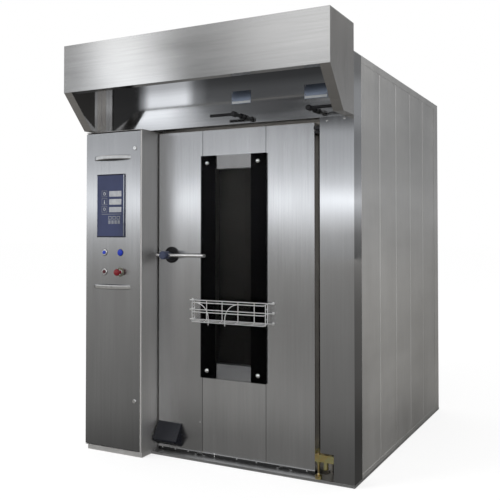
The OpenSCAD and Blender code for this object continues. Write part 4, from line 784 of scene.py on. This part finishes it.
def studio_wall(height=14.0, steps=96):
    """A round studio wall that only mirror-like surfaces see: a light band at eye level, a tall window
    to the left of the oven's front and softer light above."""
    corners, faces = [], []
    for i in range(steps):
        a = 2 * math.pi * i / steps
        corners += [(STUDIO_RADIUS * math.cos(a), STUDIO_RADIUS * math.sin(a), z) for z in (0, height)]
        j = 2 * ((i + 1) % steps)
        faces.append((2 * i, j, j + 1, 2 * i + 1))
    mesh = bpy.data.meshes.new("studio_wall")
    mesh.from_pydata(corners, [], faces)
    wall = stage_object("studio_wall", mesh)

    def brightness(tree, split):
        # degrees round the oven: 0 straight in front, positive to the left of the front, 180 behind
        left = sum_of(tree, "MULTIPLY", split.outputs["X"], -1)
        ahead = sum_of(tree, "MULTIPLY", split.outputs["Y"], -1)
        turn = sum_of(tree, "MULTIPLY", sum_of(tree, "ARCTAN2", left, ahead), 180 / math.pi)
        z = split.outputs["Z"]
        band = curve_of(tree, z, [
            (0, 0.55), (1.2, 0.8), (2.0, 1.55), (2.75, 2.6), (3.5, 1.45), (4.3, 1.05), (5.4, 0.85)])
        upper = curve_of(tree, turn, [
            (-180, 0.6), (-165, 0.22), (-150, 0.35), (-90, 0.9), (0, 1.1), (20, 1.6), (23, 1.55),
            (26, 1.15), (28.5, 0.72), (31.5, 0.5), (33.3, 0.55), (34.8, 1.0), (36, 1.8), (39, 1.95),
            (40.2, 0.8), (41.5, 0.68), (60, 0.8), (180, 0.6)])
        middle = curve_of(tree, turn, [
            (-180, 0.6), (-150, 0.4), (-90, 0.8), (0, 0.6), (18, 0.12), (22, 0.08), (25, 0.14), (28.4, 0.2),
            (31.0, 0.25), (32.0, 0.6), (33.0, 2.4), (38.6, 2.4), (40, 0.4), (60, 0.6), (180, 0.6)])
        front = curve_of(tree, turn, [
            (-180, 0.38), (-130, 0.42), (-95, 1.0), (95, 1.0), (130, 0.7), (180, 0.6)])
        low = sum_of(tree, "MULTIPLY", band, front)
        lift = curve_of(tree, z, [(5.9, 0.0), (6.5, 1.0)])
        mid = sum_of(tree, "MULTIPLY_ADD", sum_of(tree, "SUBTRACT", middle, low), lift, low)
        top = curve_of(tree, z, [(8.2, 0.0), (8.8, 1.0)])
        return sum_of(tree, "MULTIPLY_ADD", sum_of(tree, "SUBTRACT", upper, mid), top, mid)

    cool, plain = (0.955, 0.975, 1.0), (0.98, 0.98, 0.975)
    hue = [(0, plain), (1.2, plain), (2.4, cool), (8.2, cool), (9.5, plain)]
    mesh.materials.append(glow("studio_wall", brightness, hue))
    seen_by_metal_only(wall)


def floor_flag(steps=48, lift=0.002):
    """A grey cloth on the floor that only mirror-like surfaces see, lighter far away."""
    turns = [2 * math.pi * i / steps for i in range(steps)]
    corners = [(STUDIO_RADIUS * math.cos(a), STUDIO_RADIUS * math.sin(a), lift) for a in turns]
    mesh = bpy.data.meshes.new("floor_flag")
    mesh.from_pydata(corners, [], [tuple(range(steps))])
    flag = stage_object("floor_flag", mesh)

    def brightness(tree, split):
        x, y = split.outputs["X"], split.outputs["Y"]
        far = sum_of(tree, "SQRT", sum_of(tree, "MULTIPLY_ADD", x, x, sum_of(tree, "MULTIPLY", y, y)))
        return curve_of(tree, far, [(0, 0.13), (1.2, 0.16), (2, 0.26), (2.6, 0.30), (6, 0.37), (11, 0.42),
                                    (22, 0.47), (30, 0.58)])

    mesh.materials.append(glow("floor_flag", brightness, (1.0, 0.98, 0.94)))
    seen_by_metal_only(flag)


def hood_cards():
    """Two cards inside the hood that only mirror-like surfaces see. The one behind the fascia brightens
    the header, most of all at the left; the other keeps the left end dark."""
    def stand(name, corners, brightness, hue):
        mesh = bpy.data.meshes.new(name)
        mesh.from_pydata(corners, [], [(0, 1, 2, 3)])
        card = stage_object(name, mesh)
        mesh.materials.append(glow(name, brightness, hue))
        seen_by_metal_only(card)

    def front(tree, split):
        across = curve_of(tree, split.outputs["X"], [
            (-0.80, 0.3), (-0.77, 0.6), (-0.72, 1.9), (-0.44, 1.9), (-0.37, 0.5), (-0.27, 0.18),
            (0.1, 0.16), (0.8, 0.16)])
        up = curve_of(tree, split.outputs["Z"], [(2.12, 1.0), (2.20, 0.9), (2.25, 0.5), (2.39, 0.3)])
        return sum_of(tree, "MULTIPLY", across, up)

    def end(tree, split):
        return curve_of(tree, split.outputs["Z"], [(1.95, 0.06), (2.39, 0.03)])

    left, right, low, high = -0.806, 0.834, 2.126, 2.388
    face = ((left, low), (right, low), (right, high), (left, high))
    stand("fascia_card", [(x, -1.094, z) for x, z in face], front, (0.955, 0.975, 1.0))
    fore, aft = -1.09, -0.82
    stand("end_card", [(-0.804, y, z) for y, z in ((fore, low), (aft, 1.95), (aft, high), (fore, high))],
          end, (1.0, 1.0, 1.0))


def area_lamp(name, place, aim, size, power):
    data = bpy.data.lights.new(name, "AREA")
    data.shape = "RECTANGLE"
    data.size, data.size_y = size
    data.energy = power
    obj = bpy.data.objects.new(name, data)
    obj.location = place
    obj.rotation_euler = (Vector(aim) - Vector(place)).to_track_quat("-Z", "Y").to_euler()
    obj.visible_glossy = False
    bpy.context.scene.collection.objects.link(obj)


def seen_directly(tree):
    """1 for rays from the camera, from metal and through glass, 0 for the light that falls on surfaces."""
    path = tree.nodes.new("ShaderNodeLightPath")
    straight = sum_of(tree, "MAXIMUM", path.outputs["Is Camera Ray"], path.outputs["Is Glossy Ray"])
    return sum_of(tree, "MAXIMUM", straight, path.outputs["Is Transmission Ray"])


def white_floor():
    """A pale floor that reads as the white background and keeps the oven's shadow."""
    mesh = bpy.data.meshes.new("floor")
    reach = 2 * STUDIO_RADIUS
    mesh.from_pydata([(-reach, -reach, 0), (reach, -reach, 0), (reach, reach, 0), (-reach, reach, 0)], [],
                     [(0, 1, 2, 3)])
    floor = stage_object("floor", mesh)
    material = bpy.data.materials.new("floor")
    material.use_nodes = True
    tree = material.node_tree
    tree.nodes.clear()
    plain, part, light = (tree.nodes.new(kind) for kind in (
        "ShaderNodeBsdfDiffuse", "ShaderNodeBsdfDiffuse", "ShaderNodeEmission"))
    plain.inputs["Color"].default_value = (0.8, 0.8, 0.8, 1)
    part.inputs["Color"].default_value = (0.42, 0.42, 0.42, 1)
    light.inputs["Strength"].default_value = 0.66
    both, mix = tree.nodes.new("ShaderNodeAddShader"), tree.nodes.new("ShaderNodeMixShader")
    tree.links.new(part.outputs[0], both.inputs[0])
    tree.links.new(light.outputs[0], both.inputs[1])
    tree.links.new(seen_directly(tree), mix.inputs["Fac"])
    tree.links.new(plain.outputs[0], mix.inputs[1])
    tree.links.new(both.outputs[0], mix.inputs[2])
    end = tree.nodes.new("ShaderNodeOutputMaterial")
    tree.links.new(mix.outputs[0], end.inputs["Surface"])
    mesh.materials.append(material)


def white_world():
    world = bpy.data.worlds.new("world")
    bpy.context.scene.world = world
    world.use_nodes = True
    tree = world.node_tree
    back = tree.nodes["Background"]
    back.inputs["Color"].default_value = (1, 1, 1, 1)
    level = tree.nodes.new("ShaderNodeMapRange")
    level.inputs["To Min"].default_value = 0.8
    level.inputs["To Max"].default_value = 1.0
    tree.links.new(seen_directly(tree), level.inputs["Value"])
    tree.links.new(level.outputs["Result"], back.inputs["Strength"])


def build_stage():
    white_floor()
    white_world()
    studio_wall()
    floor_flag()
    hood_cards()
    area_lamp("key_lamp", (-4.0, -5.5, 5.0), (0, 0, 1.1), (3.0, 3.0), 160)
    area_lamp("fill_lamp", (5.5, -3.0, 4.0), (0.4, 0, 1.0), (3.0, 3.0), 70)


place_camera()
MAT = make_materials()
SCREWS = screw_tree()
dress_nodes()
glass_bands()
seam_strips()
lever_sleeve()
seal_clips()
button_rings()
header_plates()
display_details()
small_screws()
build_stage()

scene = bpy.context.scene
scene.view_settings.view_transform = "Standard"
